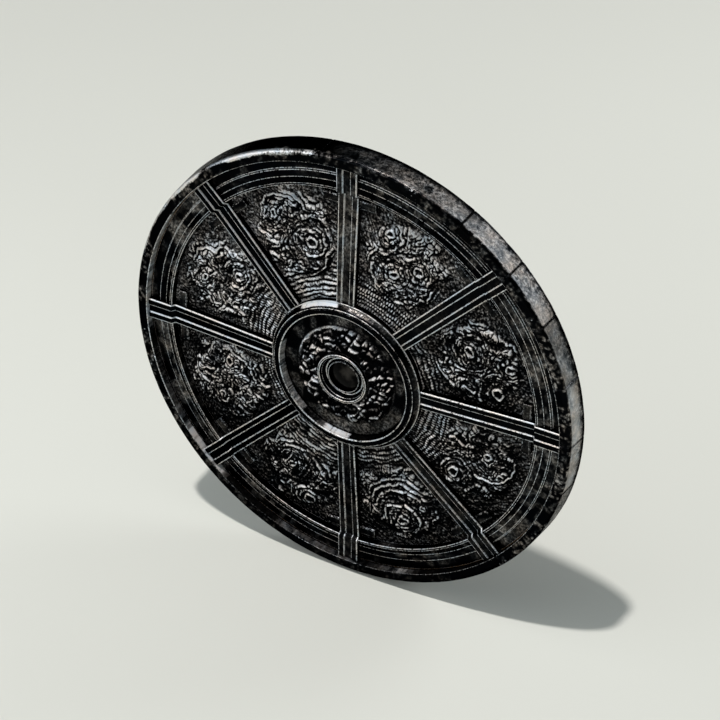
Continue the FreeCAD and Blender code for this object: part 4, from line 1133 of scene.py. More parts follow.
def chasing(across, along, middle, index):
    """Height in millimetres that is chased above a panel's ground, and its wear with painted light.

    Across is the distance from the panel's middle line and along the distance from the axis.
    The wear runs from -1 in the hollows to 1 on the crests.
    """
    plan = CHASING[index]
    seed = sizes().seed * 1000 + index * 50
    height = sizes().ridge_height / MM
    spot = np.stack([across, along], -1)
    oval = np.hypot(across / MEDALLION_WIDTH, (along - MEDALLION_PLACE) / MEDALLION_LENGTH)
    dome = (1 - smooth(0.9, 1.06, oval)) * MEDALLION_RISE
    dome = dome * (0.45 + 0.4 * np.sqrt(np.clip(1 - oval * oval, 0, 1)))
    leaves = foliage(spot, plan, seed)
    leafy = 1 - smooth(0.98, 1.14, oval + 0.22 * noise(spot, 13.0, seed + 12))
    radius = np.hypot(across, along)
    row = (radius - HUB_FLANGE) / (sizes().flute_pitch / MM) + 0.3 * noise(spot, 15.0, seed + 13)
    row = row + 0.2 * noise(spot, 5.0, seed + 14)
    bead = np.arctan2(across, along) * radius / 3.6 + 0.5 * (np.round(row) % 2)
    beaded = 1 - plan["beads"] * (0.5 - 0.5 * np.cos(FULL_TURN * bead))
    flutes = (0.5 + 0.5 * np.cos(FULL_TURN * row)) ** 0.8 * beaded
    flutes = flutes * (0.75 + 0.6 * noise(spot, 7.0, seed + 15))
    fluted = 1 - smooth(-8.0, 8.0, radius - plan["flutes"] + 8.0 * noise(spot, 13.0, seed + 16))
    leaves = 1.15 * leaves * leafy * (1 - fluted) + 0.75 * flutes * fluted
    slant = np.stack([(across + along) / 5.0, (across - along) * 1.5], -1)
    streaks = noise(slant, 3.4, seed + 17) * (1 - leafy) * (1 - fluted)
    grain = 0.3 * noise(spot, 1.9, seed + 18) + 0.3 * noise(spot, 3.6, seed + 19)
    relief = dome + height * leaves + 0.15 * streaks + grain
    # Painted light: upper slopes lighter and lower ones darker, and the tone paints the upper
    # panels lighter and the lower ones darker.
    wear = wiped_and_painted_from_above(relief, radius, np.arctan2(across, along) + middle, 0.8, 3)
    wear = wear + 0.2 * noise(spot, 20.0, seed + 18) + 2.6 * plan["tone"]
    wear = wear + 0.16 * (1 - leafy) - 0.22
    return relief, np.clip(wear, -1, 1)


class SHIELD_OT_panels(bpy.types.Operator):
    """Make the eight panels, each chased with its own windings."""

    bl_idname = "shield.panels"
    bl_label = "Panels"

    def execute(self, context):
        material = chased_iron()
        cell = sizes().panel_cell / MM
        hidden = [PANEL_INNER, 93.0, 96.0, 99.0]
        shown = np.arange(HUB_FLANGE - 1, CORNICE_INNER + 0.5, cell)
        radii = np.concatenate([hidden, shown, [253.0, PANEL_OUTER]])
        columns = round(2 * 0.36 * CORNICE_INNER / cell / 1.08)
        shares = np.linspace(-1, 1, columns)
        half_step = pi / RIB_COUNT
        spread = half_step - np.arcsin(PANEL_PARTING / radii)
        angle = spread[:, None] * shares[None]
        radius = np.broadcast_to(radii[:, None], angle.shape)
        across, along = radius * np.sin(angle), radius * np.cos(angle)
        from_rib = radius * np.sin(half_step - np.abs(angle))
        clear = smooth(13.0, 16.0, from_rib) * smooth(102.5, 105.5, radius)
        clear = clear * (1 - smooth(246.0, 249.5, radius))
        in_cleat = (1 - smooth(35.0, 36.5, from_rib)) * smooth(227.5, 229.5, radius)
        clear = clear * (1 - in_cleat * (1 - smooth(243.0, 245.0, radius)))
        for index in range(RIB_COUNT):
            middle = half_step * (2 * index + 1)
            relief, crest = chasing(across, along, middle, index)
            top = ground(radius) + np.maximum(relief, -0.4) * clear - 0.05
            front = turned(radius, angle + middle, top)
            back = turned(radius, angle + middle, ground(radius) - PANEL_SHEET)
            made = self.plate("panel_%d_chased" % (index + 1), front, back, crest, material)
            fitted(made, "embossed_iron", "panel_%d" % (index + 1))
        return {"FINISHED"}

    def plate(self, name, front, back, crest, material):
        """Close a chased front with a plain back that follows every 12th point."""
        rows, columns = crest.shape
        keep_rows = sorted({*range(0, rows, 12), rows - 1})
        keep_columns = sorted({*range(0, columns, 12), columns - 1})
        coarse = back[np.ix_(keep_rows, keep_columns)]
        faces = quads(rows, columns, False, False).tolist()
        numbers = np.arange(coarse.shape[0] * coarse.shape[1]).reshape(coarse.shape[:2])
        numbers = numbers + rows * columns
        under = quads(*coarse.shape[:2], False, False)[:, ::-1] + rows * columns
        faces += under.tolist()
        fine = np.arange(rows * columns).reshape(rows, columns)
        sides = [(fine[0], keep_columns, numbers[0], 1), (fine[-1], keep_columns, numbers[-1], -1),
                 (fine[:, 0], keep_rows, numbers[:, 0], -1),
                 (fine[:, -1], keep_rows, numbers[:, -1], 1)]
        for run, stops, lower, way in sides:
            for index, (first, last) in enumerate(zip(stops, stops[1:])):
                face = [*run[first:last + 1].tolist(), int(lower[index + 1]), int(lower[index])]
                faces.append(face[::way])
        points = np.concatenate([front.reshape(-1, 3), coarse.reshape(-1, 3)])
        marks = np.concatenate([crest.ravel(), np.zeros(coarse.shape[0] * coarse.shape[1])])
        return piece(name, points, faces, material, {"wear": marks}, 180)


# Ribs

def rib_half(radius):
    """Half of a rib's width at a radius."""
    share = (radius - HUB_FLANGE) / (CORNICE_INNER - HUB_FLANGE)
    return 12.0 + 1.5 * share


def rib_foot(radius):
    """Height of a rib's underside, on the panels and then on the cornice."""
    if radius < CORNICE_INNER - 0.25:
        return ground(radius) + SEAT_GAP
    places, heights = zip(*cornice_face())
    return float(np.interp(radius, places, heights)) + SEAT_GAP


def rib_top(radius):
    """Height of a rib's rails, raised over the cornice by a short ramp."""
    plain = ground(min(radius, CORNICE_INNER)) + RIB_HEIGHT
    return float(np.interp(radius, RIB_RAMP, (plain, RIB_SADDLE)))


def rib_wear(at):
    """The arrises' bright lines, worn through in stretches and whole in others."""
    kept = around(at.angle, (0, 1.6), (45, 1.6), (90, 1.4), (135, 1.9), (180, 2.0), (225, 1.3),
                  (270, 1.0), (315, 1.1))
    broken = 0.3 * noise(at.points, 13.0, 71) + 0.15 * noise(at.points, 4.0, 72)
    return at.first * kept * (0.9 + broken)


def rib_dull(at):
    """A thin grey bloom, most of all on the upright rib at the top."""
    bloom = around(at.angle, (50, 0.01), (70, 0.02), (80, 0.16), (100, 0.16), (110, 0.0),
                   (250, 0.0), (262, 0.04), (330, 0.05), (345, 0.0))
    return bloom * np.clip(1.0 + 1.6 * noise(at.points, 9.0, 76), 0, 2)


def cleat_dull(at):
    """A bluish bloom on the cleats' fronts."""
    return 0.12 * smooth(-0.2, 0.6, noise(at.points, 9.0, 74)) * (at.height > ground(240.0) + 3.0)


class SHIELD_OT_ribs(bpy.types.Operator):
    """Make the ribs with their rails and channel, and the cleats beside them."""

    bl_idname = "shield.ribs"
    bl_label = "Ribs"

    def execute(self, context):
        material = moulding_iron()
        for index in range(RIB_COUNT):
            name = "rib_%d" % (index + 1)
            fitted(self.rib(name + "_bar", index, material), "black_iron", name)
        cleats = worked_copy("cleat_blocks", "rib_cleats", material, 0.6, 0.45)
        rubbed(cleats, cleat_dull, "dull")
        fitted(cleats, "black_iron", "rib_cleats")
        return {"FINISHED"}

    def rib(self, name, index, material):
        """One bar, in sections from the hub to the rim."""
        edge = sizes().edge_round / MM
        stations = [RIB_START, RIB_START + 0.4, *np.arange(104.0, 246.0, 2.0), 246.3, 246.8, 247.4,
                    248.6, 249.5, 249.9, 249.96, 250.3, 250.8, 253.2, 256.0, 260.2, 263.0, 266.0,
                    269.2, 270.2, 273.0, 276.0, 279.0, 282.4, 282.8]
        rows, marks = [], []
        for station in stations:
            half = rib_half(station)
            top, foot = rib_top(station), rib_foot(station)
            end = station in (stations[0], stations[-1])
            drop = 0.4 if end else 0.0
            low = RIB_CHANNEL_DEPTH
            corners = [(-half + drop, foot - top), (-half + drop, -drop), (-RIB_CHANNEL, -drop),
                       (-RIB_CHANNEL, -low - drop), (RIB_CHANNEL, -low - drop),
                       (RIB_CHANNEL, -drop), (half - drop, -drop), (half - drop, foot - top)]
            section, wear = rounded(corners, [0, edge, edge * 0.7, 0.3, 0.3, edge * 0.7, edge, 0],
                                    support=0.4)
            rows.append(np.column_stack([np.full(len(section), station), section[:, 0],
                                         section[:, 1] + top]))
            marks.append(np.maximum(wear, 0.8 if end else 0.0))
        grid = np.array(rows)
        angle = FULL_TURN * index / RIB_COUNT
        across = grid[..., 0] * cos(angle) - grid[..., 1] * sin(angle)
        up = grid[..., 0] * sin(angle) + grid[..., 1] * cos(angle)
        points = in_frame(across, up, grid[..., 2])
        made = piece(name, points, tube(*grid.shape[:2]), material, {"wear": np.array(marks)}, 50)
        pressed(made, lambda spots: 0.05 + 0.05 * noise(spots, 11.0, 31 + index))
        rubbed(made, rib_wear)
        rubbed(made, rib_dull, "dull")
        return made


# Hub, boss and eye

def hub_outline():
    """The section of the hub ring, from its ledge over the top to its flange."""
    flange = ground(HUB_FLANGE) + RIB_HEIGHT
    board = ground(HUB_SEAT) - PANEL_SHEET - SEAT_GAP
    step = HUB_TOP - HUB_STEP_DEPTH
    corners = [(HUB_LEDGE, board), (HUB_LEDGE, BOSS_UNDER), (HUB_BORE_FOOT, BOSS_UNDER),
               (HUB_BORE_FOOT, BOSS_FLOOR), (HUB_BORE, HUB_TOP), (HUB_STEP, HUB_TOP),
               (HUB_STEP, step), (HUB_WALL_TOP, step), (HUB_WALL, flange),
               (HUB_FLANGE, flange), (HUB_FLANGE, ground(HUB_FLANGE) + SEAT_GAP),
               (HUB_SEAT, ground(HUB_SEAT) + SEAT_GAP), (HUB_SEAT, board)]
    radii = [0, 0, 0, 0, 1.3, 1.0, 0.3, 1.0, 0.4, 0.9, 0.3, 0, 0]
    return divided(*rounded(corners, radii, steps=4, support=0.4), 2.0)


def hub_sides(at):
    """Whether spots are on the reeded bore, and whether they are on the wall."""
    inside = (at.radius < HUB_BORE + 0.2) & (at.height > BOSS_FLOOR) & (at.height < HUB_TOP - 0.8)
    return inside, (at.height > 33.5) & (at.height < HUB_TOP - 1.8)


def hub_dull_and_painted_highlights(at):
    """Painted highlights: grey facets in stretches inside the bore and down the wall."""
    facet = facets(at.angle, HUB_BORE, HUB_REED)
    block = facets(at.angle, HUB_WALL, 5.0)
    # Painted highlights in stretches round the bore and the wall.
    bore = around(at.angle, (140, 0.0), (160, 0.2), (166, 1.0), (226, 1.0), (232, 0.5), (250, 0.6),
                  (254, 1.0), (272, 1.0), (276, 0.2), (310, 0.0))
    wall = around(at.angle, (20, 0.15), (30, 0.0), (44, 0.0), (47, 0.4), (80, 0.4), (94, 0.08),
                  (97, 1.0), (124, 1.0), (128, 0.0), (335, 0.0), (345, 0.15))
    inside, outside = hub_sides(at)
    outside = outside * smooth(96.8, 97.4, at.radius)
    return (inside * bore * (0.6 + 0.4 * hashed(facet, 21))
            + outside * wall * (0.65 + 0.35 * hashed(block, 22)))


def hub_wear_and_painted_highlights(at):
    """Painted highlights as pale stretches of the bore and the wall, and thin bright worn edges."""
    facet = facets(at.angle, HUB_BORE, HUB_REED)
    # Painted highlights: pale stretches round the bore and along the wall at the upper left.
    bore = around(at.angle, (160, 0.0), (166, 0.75), (190, 0.7), (200, 0.5), (226, 0.5), (232, 0.1),
                  (250, 0.2), (254, 1.3), (272, 1.6), (276, 0.0)) * (1.0 + 0.5 * hashed(facet, 23))
    wall = around(at.angle, (94, 0.0), (97, 1.4), (124, 1.4), (128, 0.0))
    inside, outside = hub_sides(at)
    edges = at.first * np.interp(at.radius, [88.0, 90.0, 93.0, 94.0, 95.5, 98.5, 99.8, 101.0],
                              [1.15, 0.6, 0.3, 0.3, 1.15, 0.5, 0.35, 1.15])
    edges = edges * (0.95 + 0.4 * noise(at.points, 12.0, 73))
    return np.maximum(edges, inside * bore + outside * wall * (at.radius > 97.0))


def boss_relief(radius, angle):
    """Height of the boss's front, and its wear with painted light from -1 in hollows to 1 on
    crests.
    """
    seed = sizes().seed
    spot = np.stack([radius * np.cos(angle), radius * np.sin(angle)], -1)
    base = np.interp(radius, [27.0, 36.0, 48.0, 59.0, 66.0, 87.0],
                     [38.9, 38.9, 37.6, 34.6, 31.9, 31.9])
    bent = spot + 4.0 * drift(spot, 11.0, seed)
    near, following = strewn(bent, 11.5, seed + 5)
    lumps = np.clip(1 - near ** 2, 0, 1) * smooth(0.0, 0.35, following - near)
    lumps = lumps * (0.75 + 0.5 * noise(spot, 14.0, seed + 3))
    small = billows(bent, 6.0, seed + 6)
    reach = 62.0 + 4.0 * noise(spot, 11.0, seed + 4)
    leafy = smooth(34.0, 37.5, radius) * (1 - smooth(reach, reach + 5.0, radius))
    relief = (4.4 * lumps + 1.3 * small) * leafy
    relief = relief + (0.3 * noise(spot, 3.4, seed + 8) + 0.22 * noise(spot, 1.9, seed + 9)) * leafy
    plain = smooth(66.0, 69.0, radius)
    # Painted light from above on the leaves: upper slopes lighter, lower slopes darker.
    wear = wiped_and_painted_from_above(relief.T, radius.T, angle.T, 0.35, 5).T * leafy - 0.68 * leafy - 0.5 * plain
    arc = np.exp(-((radius - 65.0) / 1.3) ** 2) * around(np.degrees(angle) % 360, (90, 0.0),
                                                         (100, 1.0), (165, 1.0), (175, 0.0))
    relief = relief + 0.7 * arc + plain * (0.08 * noise(spot, 9.0, seed + 11)
                                           + 0.04 * noise(spot, 3.0, seed + 12))
    return base + np.maximum(relief, -0.4), np.clip(wear + 1.2 * arc, -1, 1)


def boss_dull(at):
    """Soft grey patches in the channel round the leaves."""
    patch = around(at.angle, (60, 0.0), (84, 0.0), (88, 0.25), (106, 0.2), (112, 0.0), (236, 0.0),
                   (242, 0.3), (288, 0.25), (300, 0.15), (330, 0.15), (340, 0.0))
    patch = patch + 0.2 * smooth(-0.1, 0.6, noise(at.points, 9.0, 75))
    return patch * smooth(67.0, 70.0, at.radius)


def collar_wear_and_painted_crescent(at):
    """Bright worn rings, and a painted highlight: a bright crescent along the foot of the inner lip
    on its lower half.
    """
    # Painted highlight: a bright crescent on the lower half of the lip's foot.
    lip = around(at.angle, (150, 0.0), (200, 0.9), (300, 0.9), (350, 0.0)) * (at.radius < 24.0)
    return at.first * (1.15 + lip)


class SHIELD_OT_hub(bpy.types.Operator):
    """Make the hub ring, the leafed boss plate and the eye."""

    bl_idname = "shield.hub"
    bl_label = "Hub"

    def execute(self, context):
        black = moulding_iron()
        outline, wear = hub_outline()
        rng = np.random.default_rng(sizes().seed + 1)
        reeds = reeded_wall(rng, HUB_BORE_FOOT, HUB_BORE, BOSS_FLOOR + 0.5, HUB_TOP - 1.4, 0.22, 1)
        ring = lathe("hub_ring_turned", outline, wear, black, sizes().reed_pitch / MM,
                     jitter=reeds)
        pressed(ring, lambda points: 0.06 + 0.05 * noise(points, 10.0, 51))
        rubbed(ring, hub_dull_and_painted_highlights, "dull")
        rubbed(ring, hub_wear_and_painted_highlights)
        fitted(ring, "black_iron", "hub_ring")
        self.boss(chased_iron())
        self.collar(black)
        self.disc()
        seat = worked_copy("eye_seat_block", "eye_seat",
                           wood("Turned poplar", colours().wood, 0.004, (1, 1, 0.1), 0.6), 0.5)
        fitted(seat, "board_wood", "eye_seat")
        return {"FINISHED"}

    def boss(self, material):
        """The plate with its ring of leaves."""
        outer = HUB_BORE_FOOT - 0.1
        angles = FULL_TURN * np.arange(560) / 560
        radius, angle = np.meshgrid(np.arange(BOSS_HOLE, outer, 0.75), angles)
        height, crest = boss_relief(radius, angle)
        lining = np.array([(outer, BOSS_UNDER), (66.0, BOSS_UNDER), (59.0, 33.5), (48.0, 36.3),
                           (36.0, 37.3), (BOSS_HOLE, 37.3)])
        lower = np.broadcast_to(lining, (len(angles), *lining.shape))
        grid_radius = np.concatenate([radius, lower[..., 0]], 1)
        grid_height = np.concatenate([height, lower[..., 1]], 1)
        points = turned(grid_radius, angles[:, None], grid_height)
        marks = np.concatenate([crest, np.zeros((len(angles), len(lining)))], 1)
        faces = tube(*grid_radius.shape, True)
        made = piece("boss_leaves", points, faces, material, {"wear": marks}, 180)
        rubbed(made, boss_dull, "dull")
        fitted(made, "embossed_iron", "boss_plate")

    def collar(self, material):
        """The collar with its raised rim, its groove and its lip."""
        stem = BOSS_HOLE - SEAT_GAP
        corners = [(stem, EYE_BACK), (stem, COLLAR_SEAT), (COLLAR_RADIUS, COLLAR_SEAT),
                   (COLLAR_RADIUS, COLLAR_TOP), (30.5, COLLAR_TOP), (28.7, 41.1), (24.9, 35.7),
                   (21.3, 39.0), (COLLAR_LIP, 39.7), (COLLAR_LIP, EYE_BACK)]
        radii = [0, 0, 0.5, 1.1, 1.0, 1.2, 1.0, 0.6, 0.5, 0]
        outline, wear = rounded(corners, radii, steps=4, support=0.3)
        made = lathe("eye_collar_turned", outline, wear, material, 1.2)
        pressed(made, lambda points: 0.03 + 0.03 * noise(points, 6.0, 61))
        rubbed(made, collar_wear_and_painted_crescent)
        fitted(made, "black_iron", "eye_collar")

    def disc(self):
        """The domed disc, polished."""
        reach, edge, crown = COLLAR_LIP - SEAT_GAP, 34.7, 36.9
        shares = np.linspace(0, 1, 14)[1:]
        dome = [(reach * share, edge + (crown - edge) * (1 - share ** 2)) for share in shares]
        outline = [(0, crown), *dome, (reach, edge - 0.5), (reach, EYE_BACK), (0, EYE_BACK)]
        pattern = turned_pattern("disc", outline, 96, eye_polish())
        made = repeated("eye_disc_polished", pattern, [(0, -PAD_PROUD * MM, 0)], (0, -1, 0))
        made.data.shade_smooth()
        fitted(made, "eye_polish", "eye_disc")


# Board and hoop

class SHIELD_OT_board(bpy.types.Operator):
    """Make the planks, the bent hoop, and the studs and roves that show behind them."""

    bl_idname = "shield.board"
    bl_label = "Board"

    def execute(self, context):
        planks = wood("Oiled poplar", colours().wood, 0.007, (1, 1, 0.055), 0.55)
        hoop = wood("Steam-bent ash", colours().ash, 0.0028, "round", 0.5)
        rng = np.random.default_rng(sizes().seed + 2)
        for index in range(5):
            name = "board_plank_%d" % (index + 1)
            self.toned(name + "_planed", name, planks, "board_wood", rng.uniform(0, 1), 0.7)
        for index in range(2):
            name = "hoop_half_%d" % (index + 1)
            self.toned(name + "_bent", name, hoop, "hoop_ash", rng.uniform(0, 1), 0.5)
        self.studs()
        return {"FINISHED"}

    def toned(self, name, node, material, slot, tone, edge):
        """A filed copy of a wooden node with its own stretch of the grain."""
        made = worked_copy(name, node, material, edge)
        marked(made.data, "tone", np.full(len(made.data.vertices), tone))
        fitted(made, slot, node)

    def studs(self):
        """Riveted stud ends over their roves."""
        material = fittings_iron()
        span = CORNICE_INNER - HUB_FLANGE
        spots = [(HUB_FLANGE + share * span, 45.0 * index) for index in range(RIB_COUNT)
                 for share in (0.22, 0.54, 0.86)]
        spots += [(85.8, angle) for angle in (67.5, 112.5, 247.5, 292.5)]
        places, facing = [], []
        for radius, angle in spots:
            tilt = 0.0 if radius < BOARD_FLAT_RADIUS else radians(3.5)
            angle = radians(angle)
            places.append(turned(radius, angle, board_back(radius) - 0.1))
            facing.append((-sin(tilt) * cos(angle), cos(tilt), -sin(tilt) * sin(angle)))
        washer = [(0, 0.0), (7.7, 0.0), (8.0, 0.3), (8.0, 1.2), (7.6, 1.5), (4.6, 1.6), (0, 1.6)]
        pattern = turned_pattern("rove", washer, 28, material, [0, 0.4, 1, 1, 0.2])
        roves = repeated("stud_roves_set", pattern, places, facing, turn_variation=3.0)
        fitted(roves, "fittings_iron", "stud_roves")
        head = [(0, 1.4), (4.2, 1.5), (4.4, 1.9), (4.0, 2.7), (3.0, 3.4), (1.6, 3.8), (0, 3.9)]
        pattern = turned_pattern("head", head, 18, material, [0, 0.3, 0.5, 0.8, 1])
        heads = repeated("stud_heads", pattern, places, facing, size_variation=0.04,
                         turn_variation=3.0)
        fitted(heads, "fittings_iron")


# Straps, buckle and keeper

def filleted(corners, radii, step=STRAP_STEP):
    """A run through corners, each turned on its own radius, as closely spaced points."""
    corners = np.array(corners, float)
    points = [corners[0]]
    for corner, radius, last, following in zip(corners[1:], radii, corners, corners[2:]):
        before, after = unit(last - corner), unit(following - corner)
        sweep = pi - 2 * half_angle(before, after)
        bend = arc(corner, before, after, radius, max(4, ceil(sweep * radius / step)))
        points += [*stretch(points[-1], bend[0], step), *bend[1:]]
    return np.array(points + stretch(points[-1], corners[-1], step))


def stretch(start, end, step):
    """Evenly spaced points after start, up to the end."""
    count = max(1, ceil(np.linalg.norm(end - start) / step))
    return [start + (end - start) * number / count for number in range(1, count + 1)]


def paced(line, margin):
    """Points a stitch apart on a line, clear of its ends, and the unit way ahead at each."""
    lengths = np.concatenate([[0], np.cumsum(np.linalg.norm(np.diff(line, axis=0), axis=1))])
    stops = np.arange(margin, lengths[-1] - margin, sizes().stitch_pitch / MM)
    spots, ahead = (np.stack([np.interp(stops + more, lengths, line[:, axis])
                              for axis in (0, 1)], -1) for more in (0.0, 0.5))
    return spots, unit(ahead - spots)


def strap(name, line, thick, material, wander=0.25):
    """A leather strip that follows a line of (up, depth) points, its edges rounded."""
    normal = left_of(unit(np.gradient(line, axis=0)))
    half = STRAP_WIDTH / 2
    flats = np.linspace(-half + 1.2, half - 1.2, 9)
    edge = [(half - 0.45, 0.4), (half, 0.12), (half, -0.12), (half - 0.45, -0.4)]
    section = np.array([*[(side, 0.5) for side in flats], *edge,
                        *[(side, -0.5) for side in flats[::-1]],
                        *[(-side, -level) for side, level in edge]])
    offset = section[None, :, 1] * thick[:, None]
    up = line[:, 0, None] + normal[:, 0, None] * offset
    depth = line[:, 1, None] + normal[:, 1, None] * offset
    across = np.broadcast_to(section[:, 0] + STRAP_PLACE, up.shape)
    spots = np.stack([across, up, depth], -1)
    bend = wander * noise(spots, 22.0, 71)
    points = in_frame(across + wander * noise(spots, 30.0, 72), up + bend * normal[:, 0, None],
                      BOARD_BACK - depth - bend * normal[:, 1, None])
    marks = np.broadcast_to((np.abs(section[:, 0]) > half - 0.6).astype(float), up.shape)
    return piece(name, points, tube(*up.shape), material, {"wear": marks}, 60)


def cut_through(made, cutters):
    """Cut closed shapes out of a piece, and remove them."""
    for cutter in cutters:
        modifier = made.modifiers.new("Cut", "BOOLEAN")
        modifier.object = cutter
        modifier.operation = "DIFFERENCE"
        modifier.solver = "EXACT"
        modifier.use_self = True
        settle(made)
        bpy.data.objects.remove(cutter)


def plug(centre, radius, reach, material):
    """A round cutter from front to back."""
    pattern = turned_pattern("hole", [(0, -reach), (radius, -reach), (radius, reach), (0, reach)],
                             20, material)
    return repeated("hole", pattern, [centre])


def slot_block(low, high, material):
    """A square cutter between two corners in the frame."""
    points = [[(low, high)[pick][axis] for axis, pick in enumerate(corner)]
              for corner in product((0, 1), repeat=3)]
    faces = [[0, 1, 3, 2], [4, 6, 7, 5], [0, 4, 5, 1], [2, 3, 7, 6], [0, 2, 6, 4], [1, 5, 7, 3]]
    return piece("slot", np.array(points), faces, material)


def stitch_pattern(material):
    """One stitch: a short fat thread that dives at both ends, along X."""
    half, thick = 1.9, 0.42
    points = []
    stops = np.linspace(-1, 1, 7)
    for stop in stops:
        rise = 0.42 * (1 - stop ** 4) - 0.3 * stop ** 8
        girth = thick * (1 - 0.35 * stop ** 4)
        for side in range(6):
            angle = FULL_TURN * side / 6
            points.append((stop * half, girth * cos(angle), rise + girth * 0.8 * sin(angle)))
    return piece("stitch", np.array(points) * MM, tube(len(stops), 6), material,
                 {"wear": np.zeros(len(points))})


def stitched(name, places, facing, along, material, slot):
    """A row of stitches as one piece."""
    made = repeated(name, stitch_pattern(material), places, facing, along, size_variation=0.06,
                    turn_variation=0.08)
    fitted(made, slot)


def strap_seams(line, side):
    """Places, facings and directions of stitches along both edges of a strap's line."""
    spots, run = paced(line, 3.0)
    normal = left_of(run) * side
    places, facing, along = [], [], []
    for edge in (-1, 1):
        across = STRAP_PLACE + edge * (STRAP_WIDTH / 2 - STITCH_INSET)
        places += [behind(across, up, depth) for up, depth in spots + normal * LEATHER / 2]
        facing += [(0, depth, up) for up, depth in normal]
        along += [(0, depth, up) for up, depth in run]
    return places, facing, along


class SHIELD_OT_straps(bpy.types.Operator):
    """Make the buckled arm strap: both leathers, the keeper, the buckle and the rivets."""

    bl_idname = "shield.straps"
    bl_label = "Straps"

    def execute(self, context):
        hide = leather("Strap leather", tuple(colours().leather), 0.0011, 0.42)
        thread = waxed_thread()
        self.long_strap(hide, thread)
        self.chape(hide, thread)
        self.keeper(hide)
        iron = fittings_iron()
        forged("buckle_frame", iron, 0)
        forged("buckle_tongue", iron, 0.3, "tongue")
        self.rivets(iron)
        return {"FINISHED"}

    def long_strap(self, hide, thread):
        """Up from the lower tab, through the buckle, and down over the chape."""
        half = LEATHER / 2
        rear, top = 83.4 + half, 56.4 + half
        corners = [(-STRAP_TAB, half), (-STRAP_LOOP - half, half), (-STRAP_LOOP - half, rear),
                   (top, rear), (top, 18.0)]
        line = filleted(corners, [*STRAP_BENDS, 36.4 + half])
        thick = np.full(len(line), LEATHER)
        thick[-6:] = np.linspace(LEATHER, 2.0, 6)
        made = strap("arm_strap_leather", line, thick, hide)
        low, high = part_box("buckle_tongue")
        cutters = [slot_block((0.083, high.y - 0.012, low.z - 0.001),
                              (0.089, high.y + 0.01, 0.0115), hide)]
        cutters += [plug(behind(STRAP_PLACE, up, 85.0), 2.2, 4.0, hide)
                    for up in (-26.0, -37.0, 34.0)]
        cut_through(made, cutters)
        fitted(made, "strap_leather", "arm_strap")
        stitched("arm_strap_stitches", *strap_seams(line, 1), thread, "strap_leather")

    def chape(self, hide, thread):
        """The short strap, turned back round the buckle's bar and sewn."""
        half = LEATHER / 2
        (bar_up, bar_depth), wrap = BUCKLE_BAR, 3.5
        sewn = filleted([(STRAP_TAB, half), (STRAP_LOOP + half, half),
                         (STRAP_LOOP + half, bar_depth), (bar_up + 10.0, bar_depth)], STRAP_BENDS)
        turn = [(bar_up + wrap * cos(angle), bar_depth + wrap * sin(angle))
                for angle in np.linspace(radians(62), radians(300), 15)]
        ease = [(bar_up + 6.5, bar_depth + 0.9), (bar_up + 4.2, bar_depth + 2.2)]
        back = [(bar_up + 5.0, bar_depth - 2.7), (bar_up + 9.0, bar_depth - 2.5),
                (bar_up + 18.0, bar_depth - 2.4), (bar_up + 24.0, bar_depth - 2.3)]
        line = np.concatenate([sewn, ease, turn, back])
        thick = np.full(len(line), LEATHER)
        thick[-21:] = np.concatenate([np.linspace(2.6, 2.0, 6), np.full(11, 1.9),
                                      np.linspace(1.9, 1.2, 4)])
        made = strap("buckle_chape_leather", line, thick, hide, wander=0.12)
        cut_through(made, [slot_block((0.083, 0.052, 0.006), (0.089, 0.072, 0.022), hide)])
        fitted(made, "strap_leather", "buckle_chape")
        stitched("buckle_chape_stitches", *strap_seams(sewn, -1), thread, "strap_leather")

    def keeper(self, hide):
        """The loop round both leathers that holds the strap's tail."""
        low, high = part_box("strap_keeper")
        middle, half = (low + high) / 2 / MM, (high - low) / 2 / MM
        wide, tall, thick = half.x - 1, half.z - 1, 2.0
        corners = [(-wide, -tall), (wide, -tall), (wide, tall), (-wide, tall)]
        line, _ = rounded(corners, 2.2, steps=5, support=1.0)
        outwards = -left_of(unit(np.roll(line, -1, 0) - np.roll(line, 1, 0)))
        section = np.array([(-1, -0.25), (-1, 0.25), (-0.9, 0.5), (0.9, 0.5), (1, 0.25),
                            (1, -0.25), (0.9, -0.5), (-0.9, -0.5)])
        grid = line[:, None] + outwards[:, None] * section[None, :, 1, None] * thick
        depth = np.broadcast_to(middle.y + section[:, 0] * half.y, grid.shape[:2])
        points = np.stack([grid[..., 0] + middle.x, depth, grid[..., 1] + middle.z], -1) * MM
        marks = np.broadcast_to((np.abs(section[:, 0]) > 0.95).astype(float), depth.shape)
        made = piece("strap_keeper_loop", points, tube(*depth.shape, True), hide,
                     {"wear": marks}, 60)
        fitted(made, "strap_leather", "strap_keeper")

    def rivets(self, iron):
        """Domed rivets of the strap's tabs and of the grip's brackets."""
        spots = [(STRAP_PLACE + sway * 11.0, side * 70.0, LEATHER)
                 for side in (1, -1) for sway in (1, -1)]
        spots += [(GRIP_PLACE + sway * 6.5, side * 71.0, 5.0)
                  for side in (1, -1) for sway in (1, -1)]
        head = [(0, -4.0), (2.4, -4.0), (2.4, 0.0), (5.3, 0.0), (5.5, 0.35), (5.0, 1.2),
                (3.8, 1.9), (2.0, 2.3), (0, 2.4)]
        pattern = turned_pattern("rivet", head, 24, iron, [0, 0, 0, 0.5, 0.4, 0.6, 0.9])
        made = repeated("back_rivets_set", pattern, [behind(*spot) for spot in spots],
                        turn_variation=3.0)
        fitted(made, "fittings_iron", "back_rivets")


# Forearm pad

